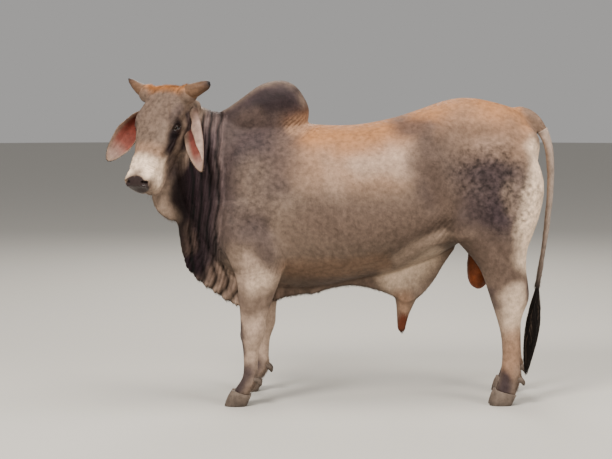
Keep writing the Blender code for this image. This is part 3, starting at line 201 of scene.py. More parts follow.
# The tube at its tip, in level slices: height, front, rear, half width.
SHEATH_TUBE = [
    (0.520, 0.428, 0.560, 0.052),
    (0.470, 0.440, 0.535, 0.042),
    (0.420, 0.444, 0.512, 0.032),
    (0.380, 0.446, 0.500, 0.026),
    (0.340, 0.449, 0.492, 0.021),
    (0.328, 0.456, 0.486, 0.014),
]
# The tail: points of its centre line with its radius. The first of them are part of the hide.
TAIL = [
    (0.985, 1.385, 0.042),
    (1.045, 1.398, 0.040),
    (1.105, 1.375, 0.034),
    (1.150, 1.320, 0.027),
    (1.182, 1.240, 0.021),
    (1.194, 1.130, 0.018),
    (1.192, 1.000, 0.016),
    (1.180, 0.860, 0.014),
    (1.162, 0.720, 0.012),
    (1.145, 0.610, 0.011),
    (1.135, 0.540, 0.010),
]

POLL = Vector((-0.683, -0.100, 1.519))
HEAD_TURN = math.radians(56)
HEAD_DROP = math.radians(60)
# Skull and muzzle: way down the face, dorsal line, widest, ventral line, half width, two roundnesses.
SKULL = [
    (-0.034, -0.034, -0.078, -0.130, 0.092, 2.6, 2.0),
    (0.000, -0.012, -0.074, -0.178, 0.116, 2.7, 2.0),
    (0.050, 0.000, -0.070, -0.208, 0.124, 2.8, 2.0),
    (0.120, 0.005, -0.064, -0.236, 0.125, 2.8, 2.0),
    (0.200, 0.002, -0.062, -0.250, 0.116, 2.7, 2.1),
    (0.270, -0.005, -0.062, -0.238, 0.101, 2.6, 2.1),
    (0.340, -0.010, -0.062, -0.205, 0.085, 2.5, 2.1),
    (0.400, -0.013, -0.060, -0.172, 0.080, 2.4, 2.6),
    (0.440, -0.016, -0.060, -0.152, 0.087, 2.4, 3.0),
    (0.478, -0.026, -0.062, -0.136, 0.084, 2.3, 2.9),
    (0.504, -0.040, -0.064, -0.108, 0.062, 2.2, 2.4),
]
LOWER_JAW = [
    (0.250, -0.140, -0.180, -0.238, 0.062, 2.2, 2.2),
    (0.330, -0.120, -0.160, -0.212, 0.060, 2.2, 2.2),
    (0.400, -0.115, -0.150, -0.196, 0.060, 2.3, 2.3),
    (0.445, -0.115, -0.145, -0.186, 0.060, 2.3, 2.3),
    (0.477, -0.118, -0.142, -0.168, 0.044, 2.2, 2.2),
]
EYE_RADIUS = 0.0215
EYE = Vector((0.186, 0.109, -0.056))
EYE_FACES = Vector((0.0, 0.86, 0.51))
EAR_ROOT = Vector((0.020, 0.114, -0.130))

# Muscles, hollows and bones that show at the sides: points x, z, reach and height, a hollow being negative.
FLANK_STROKES = [
    ([(-0.310, 1.160), (-0.345, 1.050), (-0.355, 0.940)], 0.040, 0.005),
    ([(-0.210, 1.200), (-0.250, 1.080), (-0.290, 0.940)], 0.030, 0.006),
    ([(-0.265, 1.140), (-0.300, 1.020)], 0.026, -0.004),
    ([(-0.120, 1.160), (-0.100, 1.040), (-0.090, 0.900), (-0.080, 0.760)], 0.050, -0.008),
    ([(-0.300, 0.800), (-0.210, 0.790), (-0.140, 0.740)], 0.045, 0.012),
    ([(-0.360, 0.870), (-0.370, 0.770), (-0.350, 0.680)], 0.030, 0.010),
    ([(-0.240, 0.900), (-0.180, 0.850)], 0.028, -0.009),
    ([(0.020, 1.060), (0.060, 0.860), (0.090, 0.700)], 0.028, 0.005),
    ([(0.110, 1.060), (0.150, 0.850), (0.180, 0.700)], 0.028, 0.005),
    ([(0.200, 1.060), (0.240, 0.840), (0.265, 0.700)], 0.028, 0.005),
    ([(0.300, 0.640), (0.440, 0.720), (0.560, 0.800), (0.640, 0.860)], 0.035, -0.010),
    ([(0.420, 1.255), (0.500, 1.200), (0.560, 1.100), (0.600, 0.980)], 0.050, -0.018),
    ([(0.380, 1.310), (0.500, 1.325)], 0.030, -0.010),
    ([(0.590, 1.325), (0.610, 1.300)], 0.042, 0.018),
    ([(0.620, 1.180), (0.660, 1.050), (0.690, 0.940)], 0.045, 0.010),
    ([(0.700, 1.320), (0.800, 1.290), (0.900, 1.300)], 0.040, -0.010),
    ([(0.830, 1.230), (0.880, 1.180)], 0.050, 0.010),
    ([(1.060, 1.290), (1.075, 1.250)], 0.040, 0.014),
    ([(0.990, 1.200), (0.985, 1.060), (0.960, 0.930)], 0.028, -0.010),
    ([(0.860, 1.080), (0.840, 0.960)], 0.050, 0.008),
    ([(0.740, 0.900), (0.755, 0.830)], 0.035, 0.012),
    ([(0.880, 0.800), (0.950, 0.700), (0.990, 0.600)], 0.022, -0.007),
    ([(1.010, 0.740), (1.035, 0.650), (1.050, 0.580)], 0.018, 0.004),
    ([(-0.205, 0.560), (-0.220, 0.470), (-0.235, 0.400)], 0.018, -0.006),
    ([(-0.275, 0.600), (-0.280, 0.480)], 0.026, 0.006),
    ([(-0.262, 0.265), (-0.268, 0.180)], 0.012, -0.003),
    ([(0.980, 0.420), (0.975, 0.300), (0.975, 0.200)], 0.012, -0.003),
]
# The same on the head, in head space.
HEAD_STROKES = [
    ([(0.085, 0.080, -0.010), (0.138, 0.104, -0.018), (0.182, 0.110, -0.024)], 0.016, 0.009),
    ([(0.120, 0.126, -0.084), (0.085, 0.126, -0.080)], 0.022, -0.008),
    ([(0.235, 0.104, -0.075), (0.300, 0.086, -0.085), (0.350, 0.078, -0.090)], 0.014, 0.006),
    ([(0.270, 0.074, -0.030), (0.330, 0.066, -0.032)], 0.020, -0.005),
    ([(0.300, 0.086, -0.130), (0.360, 0.076, -0.118)], 0.024, -0.008),
    ([(0.185, 0.110, -0.190), (0.230, 0.100, -0.225)], 0.030, 0.005),
    ([(0.420, 0.066, -0.035), (0.405, 0.074, -0.065)], 0.012, -0.005),
    ([(0.218, 0.094, -0.046), (0.245, 0.086, -0.044)], 0.012, -0.004),
]


def smooth_rows(rows, steps):
    """Catmull-Rom rows through the given ones, with ``steps`` to each span."""
    rows = np.array(rows, float)
    rows = np.vstack([2 * rows[0] - rows[1], rows, 2 * rows[-1] - rows[-2]])
    found = []
    for a, b, c, d in zip(rows, rows[1:], rows[2:], rows[3:]):
        for t in np.arange(steps) / steps:
            bend = (2 * a - 5 * b + 4 * c - d) * t * t + (3 * b - a - 3 * c + d) * t**3
            found.append(b + 0.5 * ((c - a) * t + bend))
    found.append(rows[-2])
    return np.array(found)


def egg(half, above, below, round_above, round_below, around):
    """A closed outline about its widest line, as sideways and upward distances."""
    turn = 2 * math.pi * np.arange(around) / around
    c, s = np.cos(turn), np.sin(turn)
    power = 2 / np.where(s > 0, round_above, round_below)
    reach = np.where(s > 0, above, below)
    return half * np.sign(c) * abs(c) ** power, reach * np.sign(s) * abs(s) ** power


def put(name, bm):
    """Turns a bmesh into an object of the scene."""
    mesh = bpy.data.meshes.new(name)
    bm.to_mesh(mesh)
    bm.free()
    obj = bpy.data.objects.new(name, mesh)
    bpy.context.scene.collection.objects.link(obj)
    return obj


def body_of(name, rings, frame=None):
    """A closed mesh object through rings of points."""
    bm = bmesh.new()
    loops = [[bm.verts.new(p) for p in ring] for ring in rings]
    for a, b in zip(loops, loops[1:]):
        for i in range(len(a)):
            j = (i + 1) % len(a)
            bm.faces.new((a[i], a[j], b[j], b[i]))
    bm.faces.new(reversed(loops[0]))
    bm.faces.new(loops[-1])
    bmesh.ops.recalc_face_normals(bm, faces=bm.faces)
    if frame is not None:
        bm.transform(frame)
    return put(name, bm)


def upright_loft(name, rows, steps=4, around=32, frame=None):
    """A body from upright sections: x, y, top, widest, bottom, half width, two roundnesses."""
    rings = []
    rows = smooth_rows(rows, steps)
    headings = np.gradient(rows[:, :2], axis=0)
    for row, (dx, dy) in zip(rows, headings):
        x, y, top, widest, bottom, half, above, below = row
        side = Vector((-dy, dx, 0)).normalized()
        out, up = egg(max(half, 0.004), top - widest, widest - bottom, above, below, around)
        rings.append([Vector((x, y, widest + v)) + side * w for w, v in zip(out, up)])
    return body_of(name, rings, frame)


def level_loft(name, rows, steps=3, around=20, roundness=LIMB_ROUNDNESS):
    """A body from level slices: height, front, rear, y, half width."""
    rings = []
    for z, front, rear, y, half in smooth_rows(rows, steps):
        depth = (rear - front) / 2
        out, along = egg(half, depth, depth, roundness, roundness, around)
        rings.append([Vector((front + depth + a, y + w, z)) for w, a in zip(out, along)])
    return body_of(name, rings)


def blade(name, rows, steps=4, across=9):
    """A hanging fold: rows of root x, y, z, free edge x, y, z, and half thickness at root and edge."""
    rings = []
    rows = smooth_rows(rows, steps)
    runs = np.gradient((rows[:, :3] + rows[:, 3:6]) / 2, axis=0)
    for row, run in zip(rows, runs):
        root, edge = Vector(row[:3]), Vector(row[3:6])
        out = (edge - root).cross(Vector(run)).normalized()
        shares = np.linspace(0, 1, across)
        spine = [(root.lerp(edge, t), row[6] + (row[7] - row[6]) * t) for t in shares]
        rings.append([p - out * w for p, w in spine] + [p + out * w for p, w in reversed(spine)])
    return body_of(name, rings)


def blob(name, centre, radii, frame=None, turn=(0, 0, 0)):
    """An ellipsoid of muscle, fat or bone."""
    bm = bmesh.new()
    bmesh.ops.create_uvsphere(bm, u_segments=24, v_segments=14, radius=1)
    turned = Matrix.Rotation(turn[1], 3, "Y") @ Matrix.Rotation(turn[2], 3, "Z")
    place = Matrix.LocRotScale(Vector(centre), turned, Vector(radii))
    bm.transform((frame or Matrix.Identity(4)) @ place)
    return put(name, bm)


def tube(name, path, radii, around=10, steps=3, flat=1.0, frame=None):
    """A round limb along a path whose radius changes; flat squeezes it sideways."""
    rows = smooth_rows([(*p, r) for p, r in zip(path, radii)], steps)
    centres = rows[:, :3]
    along = np.gradient(centres, axis=0)
    rings = []
    side = Vector((0, 1, 0))
    for centre, run, radius in zip(centres, along, rows[:, 3]):
        run = Vector(run).normalized()
        side = (side - run * side.dot(run)).normalized()
        up = run.cross(side)
        ring = []
        for turn in 2 * math.pi * np.arange(around) / around:
            ring.append(Vector(centre) + (side * math.cos(turn) * flat + up * math.sin(turn)) * float(radius))
        rings.append(ring)
    return body_of(name, rings, frame)


def head_frame():
    """Head space in the bull's own frame."""
    heading = Vector((-math.cos(HEAD_TURN), -math.sin(HEAD_TURN), 0))
    down = heading * math.cos(HEAD_DROP) - Vector((0, 0, math.sin(HEAD_DROP)))
    left = Vector((0, 0, 1)).cross(heading)
    out = down.cross(left)
    frame = Matrix((down, left, out)).transposed().to_4x4()
    frame.translation = POLL
    return frame


HEAD = head_frame()
# The way down the face, to its left and out of it, as columns.
HEAD_WAYS = np.array(HEAD.to_3x3())


def baked(obj):
    """Applies the object's modifiers."""
    graph = bpy.context.evaluated_depsgraph_get()
    mesh = bpy.data.meshes.new_from_object(obj.evaluated_get(graph))
    obj.modifiers.clear()
    obj.data = mesh
    return obj


def joined(name, pieces):
    """Several closed pieces as one mesh, still overlapping."""
    bm = bmesh.new()
    for piece in pieces:
        bm.from_mesh(piece.data)
        bpy.data.objects.remove(piece)
    return put(name, bm)


def fused(name, pieces, voxel, rounds):
    """One even skin over all the pieces, with its joints softened."""
    body = joined(name, pieces)
    remesh = body.modifiers.new("skin", "REMESH")
    remesh.mode = "VOXEL"
    remesh.voxel_size = voxel
    soften = body.modifiers.new("soften", "SMOOTH")
    soften.factor = 0.5
    soften.iterations = rounds
    return baked(body)


def mirrored(rows, side):
    """Limb rows moved to one side of the middle plane."""
    return [(z, front, rear, side * out, half) for z, front, rear, out, half in rows]


def masses():
    """The great masses: trunk, shoulders, haunches and neck."""
    pieces = [
        upright_loft("trunk", [(x, 0, t, w, b, h, ra, rb) for x, t, w, b, h, ra, rb in TRUNK]),
        upright_loft("neck", [(x, y, t, w, b, h, 2.1, 2.0) for x, y, t, w, b, h in NECK]),
    ]
    for side in LEG_SIDES.values():
        pieces += [
            blob("shoulder blade", (-0.235, side * 0.150, 1.00), (0.175, 0.100, 0.29), turn=(0, -0.22, 0)),
            blob("upper arm", (-0.260, side * 0.178, 0.86), (0.175, 0.098, 0.20), turn=(0, 0.35, 0)),
            blob("hip", (0.64, side * 0.175, 1.30), (0.12, 0.075, 0.070)),
            blob("thigh", (0.89, side * 0.160, 1.06), (0.240, 0.125, 0.27)),
            blob("pin", (1.06, side * 0.100, 1.25), (0.075, 0.055, 0.09)),
            blob("stifle", (0.77, side * 0.190, 0.89), (0.095, 0.075, 0.12), turn=(0, -0.35, 0)),
        ]
    return pieces


def limbs():
    """Four legs in level slices, with the point of the hock."""
    pieces = []
    for side in LEG_SIDES.values():
        pieces += [
            level_loft("foreleg", mirrored(FORELEG, side)),
            level_loft("hindleg", mirrored(HINDLEG, side)),
            blob("knee", (-0.268, side * 0.186, 0.345), (0.052, 0.054, 0.06)),
            blob("hock point", (1.046, side * 0.172, 0.535), (0.028, 0.026, 0.05), turn=(0, 0.15, 0)),
        ]
    return pieces


def head_pieces():
    """Skull, jaw and the soft forms of the face, in head space."""
    pieces = [
        upright_loft("skull", [(u, 0, t, w, b, h, ra, rb) for u, t, w, b, h, ra, rb in SKULL], frame=HEAD),
        upright_loft("jaw", [(u, 0, t, w, b, h, ra, rb) for u, t, w, b, h, ra, rb in LOWER_JAW], frame=HEAD),
        blob("poll", (-0.008, 0, -0.052), (0.037, 0.124, 0.046), HEAD),
        blob("upper lip", (0.479, 0, -0.092), (0.036, 0.068, 0.036), HEAD),
        blob("chin", (0.452, 0, -0.156), (0.042, 0.054, 0.034), HEAD),
        blob("throat", (0.190, 0, -0.235), (0.110, 0.050, 0.060), HEAD),
    ]
    for side in HEAD_SIDES.values():
        pieces += [
            blob("brow", (0.140, side * 0.092, -0.026), (0.050, 0.034, 0.026), HEAD),
            blob("orbit", EYE * Vector((1, side, 1)), (0.036, 0.028, 0.032), HEAD),
            blob("cheek", (0.190, side * 0.068, -0.160), (0.085, 0.044, 0.080), HEAD),
            blob("face crest", (0.290, side * 0.068, -0.095), (0.070, 0.024, 0.026), HEAD),
            blob("nostril wing", (0.467, side * 0.050, -0.046), (0.034, 0.030, 0.026), HEAD),
            blob("horn root", (0.003, side * 0.120, -0.042), (0.049, 0.055, 0.047), HEAD),
            blob("ear root", EAR_ROOT * Vector((1, side, 1)), (0.034, 0.026, 0.036), HEAD),
        ]
    return pieces


def bull_form():
    """The whole bull without ears, horns, eyes, claws and hanging tail, as one even mesh."""
    mass = fused("mass", masses(), MASS_VOXEL, 16)
    root = TAIL[:5]
    pieces = [
        mass,
        upright_loft("hump", [(x, 0, t, w, b, h, ra, rb) for x, t, w, b, h, ra, rb in HUMP]),
        blade("dewlap", [(x, y, z, ex, y, ez, t, DEWLAP_EDGE) for x, y, z, ex, ez, t in DEWLAP]),
        blade("sheath", [(x, 0, z, ex, 0, ez, t, e) for (x, z), (ex, ez), t, e in SHEATH]),
        level_loft("sheath tube", [(z, f, r, 0, h) for z, f, r, h in SHEATH_TUBE]),
        tube("tail root", [(x, 0, z) for x, z, r in root], [r for x, z, r in root]),
        *limbs(),
        *head_pieces(),
    ]
    return fused("hide", pieces, FLESH_VOXEL, 10)


def places_of(body):
    """Vertex places and outward directions, as arrays."""
    mesh = body.data
    places = np.empty(len(mesh.vertices) * 3, np.float32)
    normals = np.empty_like(places)
    mesh.vertices.foreach_get("co", places)
    mesh.vertex_normals.foreach_get("vector", normals)
    return places.reshape(-1, 3).astype(float), normals.reshape(-1, 3).astype(float)


def set_places(body, places):
    body.data.vertices.foreach_set("co", places.astype(np.float32).ravel())
    body.data.update()


def ramp(values, low, high):
    """A smooth step from 0 at low to 1 at high."""
    share = np.clip((values - low) / (high - low), 0, 1)
    return share * share * (3 - 2 * share)


def distance_to(places, line):
    """Each place's distance to a line of points."""
    nearest = np.full(len(places), np.inf)
    for a, b in zip(line, line[1:]):
        run = b - a
        share = np.clip((places - a) @ run / (run @ run), 0, 1)
        nearest = np.minimum(nearest, np.linalg.norm(places - a - share[:, None] * run, axis=1))
    return nearest


def lumps(places, size, seed):
    """Smooth noise from -1 to 1 with lumps of about this size."""
    cells = places / size + 1000.37 * (seed + 1)
    low = np.floor(cells).astype(np.int64)
    share = cells - low
    share = share * share * (3 - 2 * share)
    total = np.zeros(len(places))
    for corner in product((0, 1), repeat=3):
        key = (low + corner) @ np.array([73856093, 19349663, 83492791])
        key = (key ^ (key >> 13)) * 1274126177 & 0x7FFFFFFF
        value = (key >> 7) % 65536 / 32768 - 1
        total += value * np.prod(np.where(corner, share, 1 - share), axis=1)
    return total


def in_head(places):
    """Places in head space, as an array."""
    return (places - np.array(HEAD.translation)) @ HEAD_WAYS


def out_of_head(local):
    """Places in head space, taken back to the bull's own frame."""
    return local @ HEAD_WAYS.T + np.array(HEAD.translation)


def one_side(local):
    """Places in head space, with the right half laid over the left."""
    return np.stack([local[:, 0], abs(local[:, 1]), local[:, 2]], axis=1)


def refine(body, chosen, rounds):
    """Splits the faces in the chosen region in four, and rounds them off."""
    places, _ = places_of(body)
    inside = chosen(places)
    bm = bmesh.new()
    bm.from_mesh(body.data)
    bm.verts.ensure_lookup_table()
    edges = [e for e in bm.edges if inside[e.verts[0].index] and inside[e.verts[1].index]]
    bmesh.ops.subdivide_edges(bm, edges=edges, cuts=1, use_grid_fill=True)
    bm.to_mesh(body.data)
    bm.free()
    places, _ = places_of(body)
    group = body.vertex_groups.new(name="finer")
    group.add(np.flatnonzero(chosen(places)).tolist(), 1.0, "REPLACE")
    soften = body.modifiers.new("soften", "SMOOTH")
    soften.factor = 0.5
    soften.iterations = rounds
    soften.vertex_group = "finer"
    baked(body)
    body.vertex_groups.clear()


def in_folds(places):
    """Neck, dewlap and head, where the skin is folded finest."""
    x, y, z = places.T
    front = (x < -0.34) & (z > 0.42)
    brisket = (x < 0.06) & (z > 0.40) & (z < 0.62) & (abs(y) < 0.10)
    hump = (x < 0.06) & (z > 1.28)
    return front | brisket | hump


def in_face(places):
    """Round the eyes and over the muzzle."""
    local = in_head(places)
    u, w, v = local.T
    eyes = np.linalg.norm(one_side(local) - np.array(EYE), axis=1) < 0.075
    return eyes | (u > 0.36) & (u < 0.60) & (v > -0.26) & (abs(w) < 0.15)


def round_eyes(places):
    """Close round the eyes, where the lids are."""
    before = np.array(EYE + 0.018 * EYE_FACES)
    return np.linalg.norm(one_side(in_head(places)) - before, axis=1) < 0.042


def ridges(across, spacing, sharp=0.6):
    """Rounded ridges with narrow grooves between them, about 0."""
    return abs(np.sin(math.pi * across / spacing)) ** sharp - 0.68


# The folds of neck and dewlap: spacing and depth.
NECK_FOLDS = (0.042, 0.0090)
FINE_NECK_FOLDS = (0.0165, 0.0068)
NECK_FOLDS_FROM, NECK_FOLDS_TO = -0.375, -0.575
DEWLAP_FOLDS = (0.055, 0.008)


def neck_folds(places):
    """The upright folds, which run from the crest of the neck down and forward into the dewlap."""
    x, y, z = places.T
    run = x + 0.10 * np.clip(1.15 - z, 0, 1) ** 2 + 0.006 * np.sin(z * 17) + 0.004 * np.sin(z * 41 + y * 20)
    start = ramp(-run, -NECK_FOLDS_FROM - 0.005, -NECK_FOLDS_FROM + 0.03)
    inside = start * ramp(run, NECK_FOLDS_TO - 0.02, NECK_FOLDS_TO + 0.03)
    height = ramp(z, 0.62, 0.80) * ramp(-z, -1.44, -1.37)
    spacing, depth = NECK_FOLDS
    offset = depth * (abs(np.sin(math.pi * run / spacing)) - 0.6)
    long_lumps = places * (1, 1, 0.18)
    fine = x + 0.16 * np.clip(1.38 - z, 0, 1) ** 1.5 + 0.010 * lumps(long_lumps, 0.09, 3)
    spacing, depth = FINE_NECK_FOLDS
    offset += depth * ridges(fine, spacing) * (0.75 + 0.45 * lumps(long_lumps, 0.035, 4))
    return offset * inside * height


def dewlap_folds(places):
    """The draped folds of the dewlap, which fan out from the throat."""
    spacing, depth = DEWLAP_FOLDS
    x, y, z = places.T
    away = np.hypot(x + 0.30, z - 1.25)
    turn = np.arctan2(z - 1.25, -(x + 0.30)) * 0.62
    wave = abs(np.sin(math.pi * (turn + 0.02 * np.sin(away * 30)) / spacing)) - 0.6
    low = ramp(-x, 0.05, 0.20) * ramp(-z, -0.80, -0.66) * ramp(-abs(y), -0.10, -0.05)
    small = ridges(turn + 0.012 * lumps(places, 0.07, 5), 0.021) * 0.0035
    return (depth * wave + small) * low * ramp(away, 0.45, 0.60)


# Wrinkles beside the great folds: middle (x, z), direction they run in, reach, spacing and depth.
WRINKLES = [
    ((-0.035, 1.345), (-0.75, -0.66), (0.085, 0.050), 0.0145, 0.0040),
    ((-0.135, 0.660), (-0.25, -0.97), (0.060, 0.085), 0.0130, 0.0035),
    ((-0.170, 0.700), (0.55, -0.83), (0.050, 0.045), 0.0140, 0.0030),
    ((-0.270, 0.455), (1.00, -0.12), (0.060, 0.040), 0.0120, 0.0022),
    ((-0.250, 0.640), (0.95, 0.20), (0.070, 0.030), 0.0170, 0.0022),
    ((0.955, 0.640), (0.98, -0.20), (0.085, 0.075), 0.0125, 0.0022),
    ((0.980, 0.135), (1.00, -0.10), (0.060, 0.022), 0.0090, 0.0016),
    ((-0.270, 0.150), (1.00, -0.20), (0.060, 0.022), 0.0090, 0.0016),
    ((0.660, 0.860), (-0.55, -0.83), (0.070, 0.090), 0.0200, 0.0032),
    ((0.150, 0.660), (1.00, 0.22), (0.160, 0.022), 0.0240, 0.0022),
    ((0.240, 0.960), (0.10, -1.00), (0.200, 0.220), 0.0340, 0.0014),
]


def wrinkles(places, outward):
    """The small wrinkles at the joints, behind the elbow and behind the hump."""
    flat = places[:, [0, 2]]
    back = np.where(places[:, 1] > 0.03, 1.0, 0.0) * stagger(places)
    flat = flat - np.stack([back, 0 * back], axis=1)
    offset = np.zeros(len(places))
    for number, (middle, run, reach, spacing, depth) in enumerate(WRINKLES):
        run = np.array(run) / math.hypot(*run)
        away = flat - np.array(middle)
        across = away @ np.array([run[1], -run[0]])
        inside = np.exp(-((away[:, 0] / reach[0]) ** 2) - (away[:, 1] / reach[1]) ** 2)
        warped = across + 0.25 * spacing * lumps(places, 0.05, 20 + number)
        offset += depth * ridges(warped, spacing) * inside * outward
    return offset


def stagger(places):
    """How far back the right legs stand, growing from the body down."""
    x, y, z = places.T
    right = ramp(y, 0.03, 0.09) * ramp(-z, -STAGGER_TOP, -0.30)
    return right * np.where(x < 0.3, FORE_STAGGER, HIND_STAGGER)


def sculpt(body):
    """Raises muscles and bones, presses hollows, folds the loose skin and sets the right legs back."""
    places, normals = places_of(body)
    offset = np.zeros(len(places))
    sideways = ramp(normals[:, 1] * np.sign(places[:, 1]), 0.1, 0.6)
    outward = sideways * ramp(places[:, 0], -0.48, -0.40)
    for line, reach, height in FLANK_STROKES:
        away = distance_to(places[:, [0, 2]], np.array(line))
        offset += height * np.exp(-((away / reach) ** 2)) * outward
    for line, reach, height in HEAD_STROKES:
        for side in HEAD_SIDES.values():
            points = np.array([HEAD @ (Vector(p) * Vector((1, side, 1))) for p in line])
            offset += height * np.exp(-((distance_to(places, points) / reach) ** 2))
    offset += neck_folds(places) + dewlap_folds(places)
    not_head = ramp(np.linalg.norm(in_head(places) - np.array([0.2, 0, -0.1]), axis=1), 0.28, 0.34)
    offset += wrinkles(places, outward + 0.5 * (1 - sideways) * (places[:, 2] < 0.9)) * not_head
    places += normals * offset[:, None]
    places[:, 0] += stagger(places)
    set_places(body, places)


LID_HALF, LID_HIGH, LID_LOW = 0.0235, 0.0108, 0.0088
LID_TILT = math.radians(42)
LID_THICK = 0.0032


def eye_axes(side):
    """The eye's middle in head space, with its long axis, its way to the brow and its way out."""
    middle = EYE * Vector((1, side, 1))
    out = (EYE_FACES * Vector((1, side, 1))).normalized()
    run = Vector((math.cos(LID_TILT), 0, math.sin(LID_TILT)))
    run = (run - out * run.dot(out)).normalized()
    brow = run.cross(out) * side
    return middle, run, brow, out


def shape_lids(places):
    """Draws the skin over the eyeball as two lids with folds round them, and sinks the opening."""
    local = in_head(places)
    for side in HEAD_SIDES.values():
        middle, run, brow, out = (np.array(v) for v in eye_axes(side))
        rel = local - middle
        a, b, c = rel @ run, rel @ brow, rel @ out
        inside = (c > -0.004) & (np.hypot(a, b) < 0.075)
        high = np.where(b > 0, LID_HIGH, LID_LOW)
        bow = high * (1 - np.clip(a / LID_HALF, -1, 1) ** 2)
        away = np.where(abs(a) < LID_HALF, abs(b) - bow, np.hypot(abs(a) - LID_HALF, b))
        near = inside & (abs(away) < 0.0006) & (abs(a) < LID_HALF)
        b = np.where(near, np.sign(b) * bow, b)
        away = np.where(near, 0.0, away)
        ball = np.sqrt(np.clip((EYE_RADIUS + LID_THICK) ** 2 - a * a - b * b, 0.011**2, None))
        hug = 1 - ramp(away, 0.001, 0.015)
        lidded = c + (ball - c) * hug
        upper = b > 0
        for place, depth_up, depth_low, wide in (
            (0.0062, 0.0028, 0.0016, 0.0013),
            (0.0120, 0.0024, 0.0017, 0.0016),
            (0.0190, 0.0021, 0.0018, 0.0019),
            (0.0270, 0.0018, 0.0016, 0.0022),
            (0.0360, 0.0013, 0.0013, 0.0026),
        ):
            wander = 0.0012 * lumps(local, 0.02, int(place * 9000))
            lidded -= np.where(upper, depth_up, depth_low) * np.exp(-(((away - place - wander) / wide) ** 2))
        lidded += 0.0012 * np.exp(-(((away - 0.0018) / 0.0018) ** 2))
        c = np.where(inside, np.where(away < 0, 0.004, lidded), c)
        moved = middle + np.outer(a, run) + np.outer(b, brow) + np.outer(c, out)
        local = np.where(inside[:, None], moved, local)
    return local


NOSTRIL = Vector((0.479, 0.050, -0.038))
NOSTRIL_OUT = Vector((0.80, 0.52, 0.12))
NOSTRIL_RUN = Vector((-0.45, 0.80, -0.10))
NOSTRIL_HALF, NOSTRIL_HIGH, NOSTRIL_DEEP = 0.0200, 0.0122, 0.021
# The line of the mouth, from its left corner round the front, in head space.
MOUTH = [
    (0.380, 0.072, -0.152),
    (0.425, 0.074, -0.144),
    (0.457, 0.070, -0.138),
    (0.485, 0.056, -0.134),
    (0.504, 0.028, -0.130),
]
# Creases of the face: points in head space, reach and depth, on both sides.
FACE_CREASES = [
    ([(0.091, 0.116, -0.090), (0.126, 0.120, -0.124), (0.173, 0.114, -0.139), (0.231, 0.103, -0.153)],
     0.0055, 0.0055),
    ([(0.231, 0.103, -0.153), (0.286, 0.080, -0.178)], 0.0060, 0.0030),
    ([(0.215, 0.110, -0.064), (0.249, 0.107, -0.072), (0.285, 0.096, -0.070)], 0.0050, 0.0040),
    ([(0.120, 0.122, -0.075), (0.175, 0.126, -0.100), (0.235, 0.112, -0.108)], 0.0042, 0.0034),
    ([(0.087, 0.105, -0.030), (0.124, 0.108, -0.010), (0.156, 0.099, -0.004)], 0.0050, 0.0030),
    ([(0.100, 0.060, 0.004), (0.135, 0.084, -0.004), (0.170, 0.094, -0.014)], 0.0060, 0.0030),
    ([(0.496, 0.068, -0.050), (0.478, 0.082, -0.046), (0.458, 0.084, -0.040)], 0.0040, 0.0040),
    ([(0.455, 0.088, -0.100), (0.430, 0.090, -0.080)], 0.0060, 0.0022),
    ([(0.513, 0.000, -0.050), (0.520, 0.000, -0.095)], 0.0025, 0.0030),
]


def shape_muzzle(local):
    """Sinks the nostrils and the line of the mouth."""
    for side in HEAD_SIDES.values():
        flip = np.array([1, side, 1])
        middle = np.array(NOSTRIL) * flip
        out = np.array(NOSTRIL_OUT.normalized()) * flip
        run = np.array(NOSTRIL_RUN) * flip
        run -= out * (run @ out)
        run /= np.linalg.norm(run)
        high = np.cross(out, run)
        rel = local - middle
        away = np.hypot(rel @ run / NOSTRIL_HALF, rel @ high / NOSTRIL_HIGH)
        front = (abs(rel @ out) < 0.03).astype(float)
        sink = NOSTRIL_DEEP * ramp(1 - away, -0.08, 0.42)
        rim = 0.0026 * np.exp(-(((away - 1.35) / 0.30) ** 2))
        local = local + np.outer((rim - sink) * front, out)
    u, w, v = local.T
    inward = -np.stack([(u - 0.40) * 0.9, w, 0 * v], axis=1)
    inward /= np.linalg.norm(inward, axis=1)[:, None] + 1e-9
    away = distance_to(one_side(local), np.array(MOUTH))
    groove = 0.0085 * np.exp(-((away / 0.0034) ** 2)) - 0.0022 * np.exp(-(((away - 0.010) / 0.005) ** 2))
    return local + inward * groove[:, None]


def face_relief(local):
    """Height of the face's creases and wrinkles."""
    u, w, v = local.T
    offset = np.zeros(len(local))
    for line, reach, depth in FACE_CREASES:
        offset -= depth * np.exp(-((distance_to(one_side(local), np.array(line)) / reach) ** 2))
    bridge = ramp(u, 0.31, 0.36) * ramp(-u, -0.455, -0.42) * ramp(v, -0.085, -0.045)
    bridge = bridge * (0.4 + 0.6 * ramp(abs(w), 0.02, 0.06))
    offset += 0.0016 * bridge * ridges(u + 0.004 * np.sin(w * 60) + 0.003 * lumps(local, 0.03, 8), 0.0105)
    throat = ramp(-v, 0.12, 0.17) * ramp(u, 0.20, 0.28)
    offset += 0.0022 * throat * ridges(w + 0.006 * lumps(local, 0.05, 9), 0.016)
    cheek = np.exp(-(((u - 0.23) / 0.06) ** 2) - ((abs(w) - 0.11) / 0.05) ** 2 - ((v + 0.13) / 0.05) ** 2)
    offset += 0.0012 * cheek * ridges(v - 0.5 * u + 0.006 * lumps(local, 0.04, 10), 0.012)
    offset += 0.0007 * lumps(local, 0.016, 11) + 0.0012 * lumps(local, 0.045, 12)
    return offset


FORE_FOOT = (0.188, -0.394, -0.286, -0.354, -0.263)
HIND_FOOT = (0.171, 0.882, 0.992, 0.909, 1.014)
CLAW_APART, CLAW_HALF = 0.0275, 0.0255
CORONET_FRONT, CORONET_REAR = 0.078, 0.050


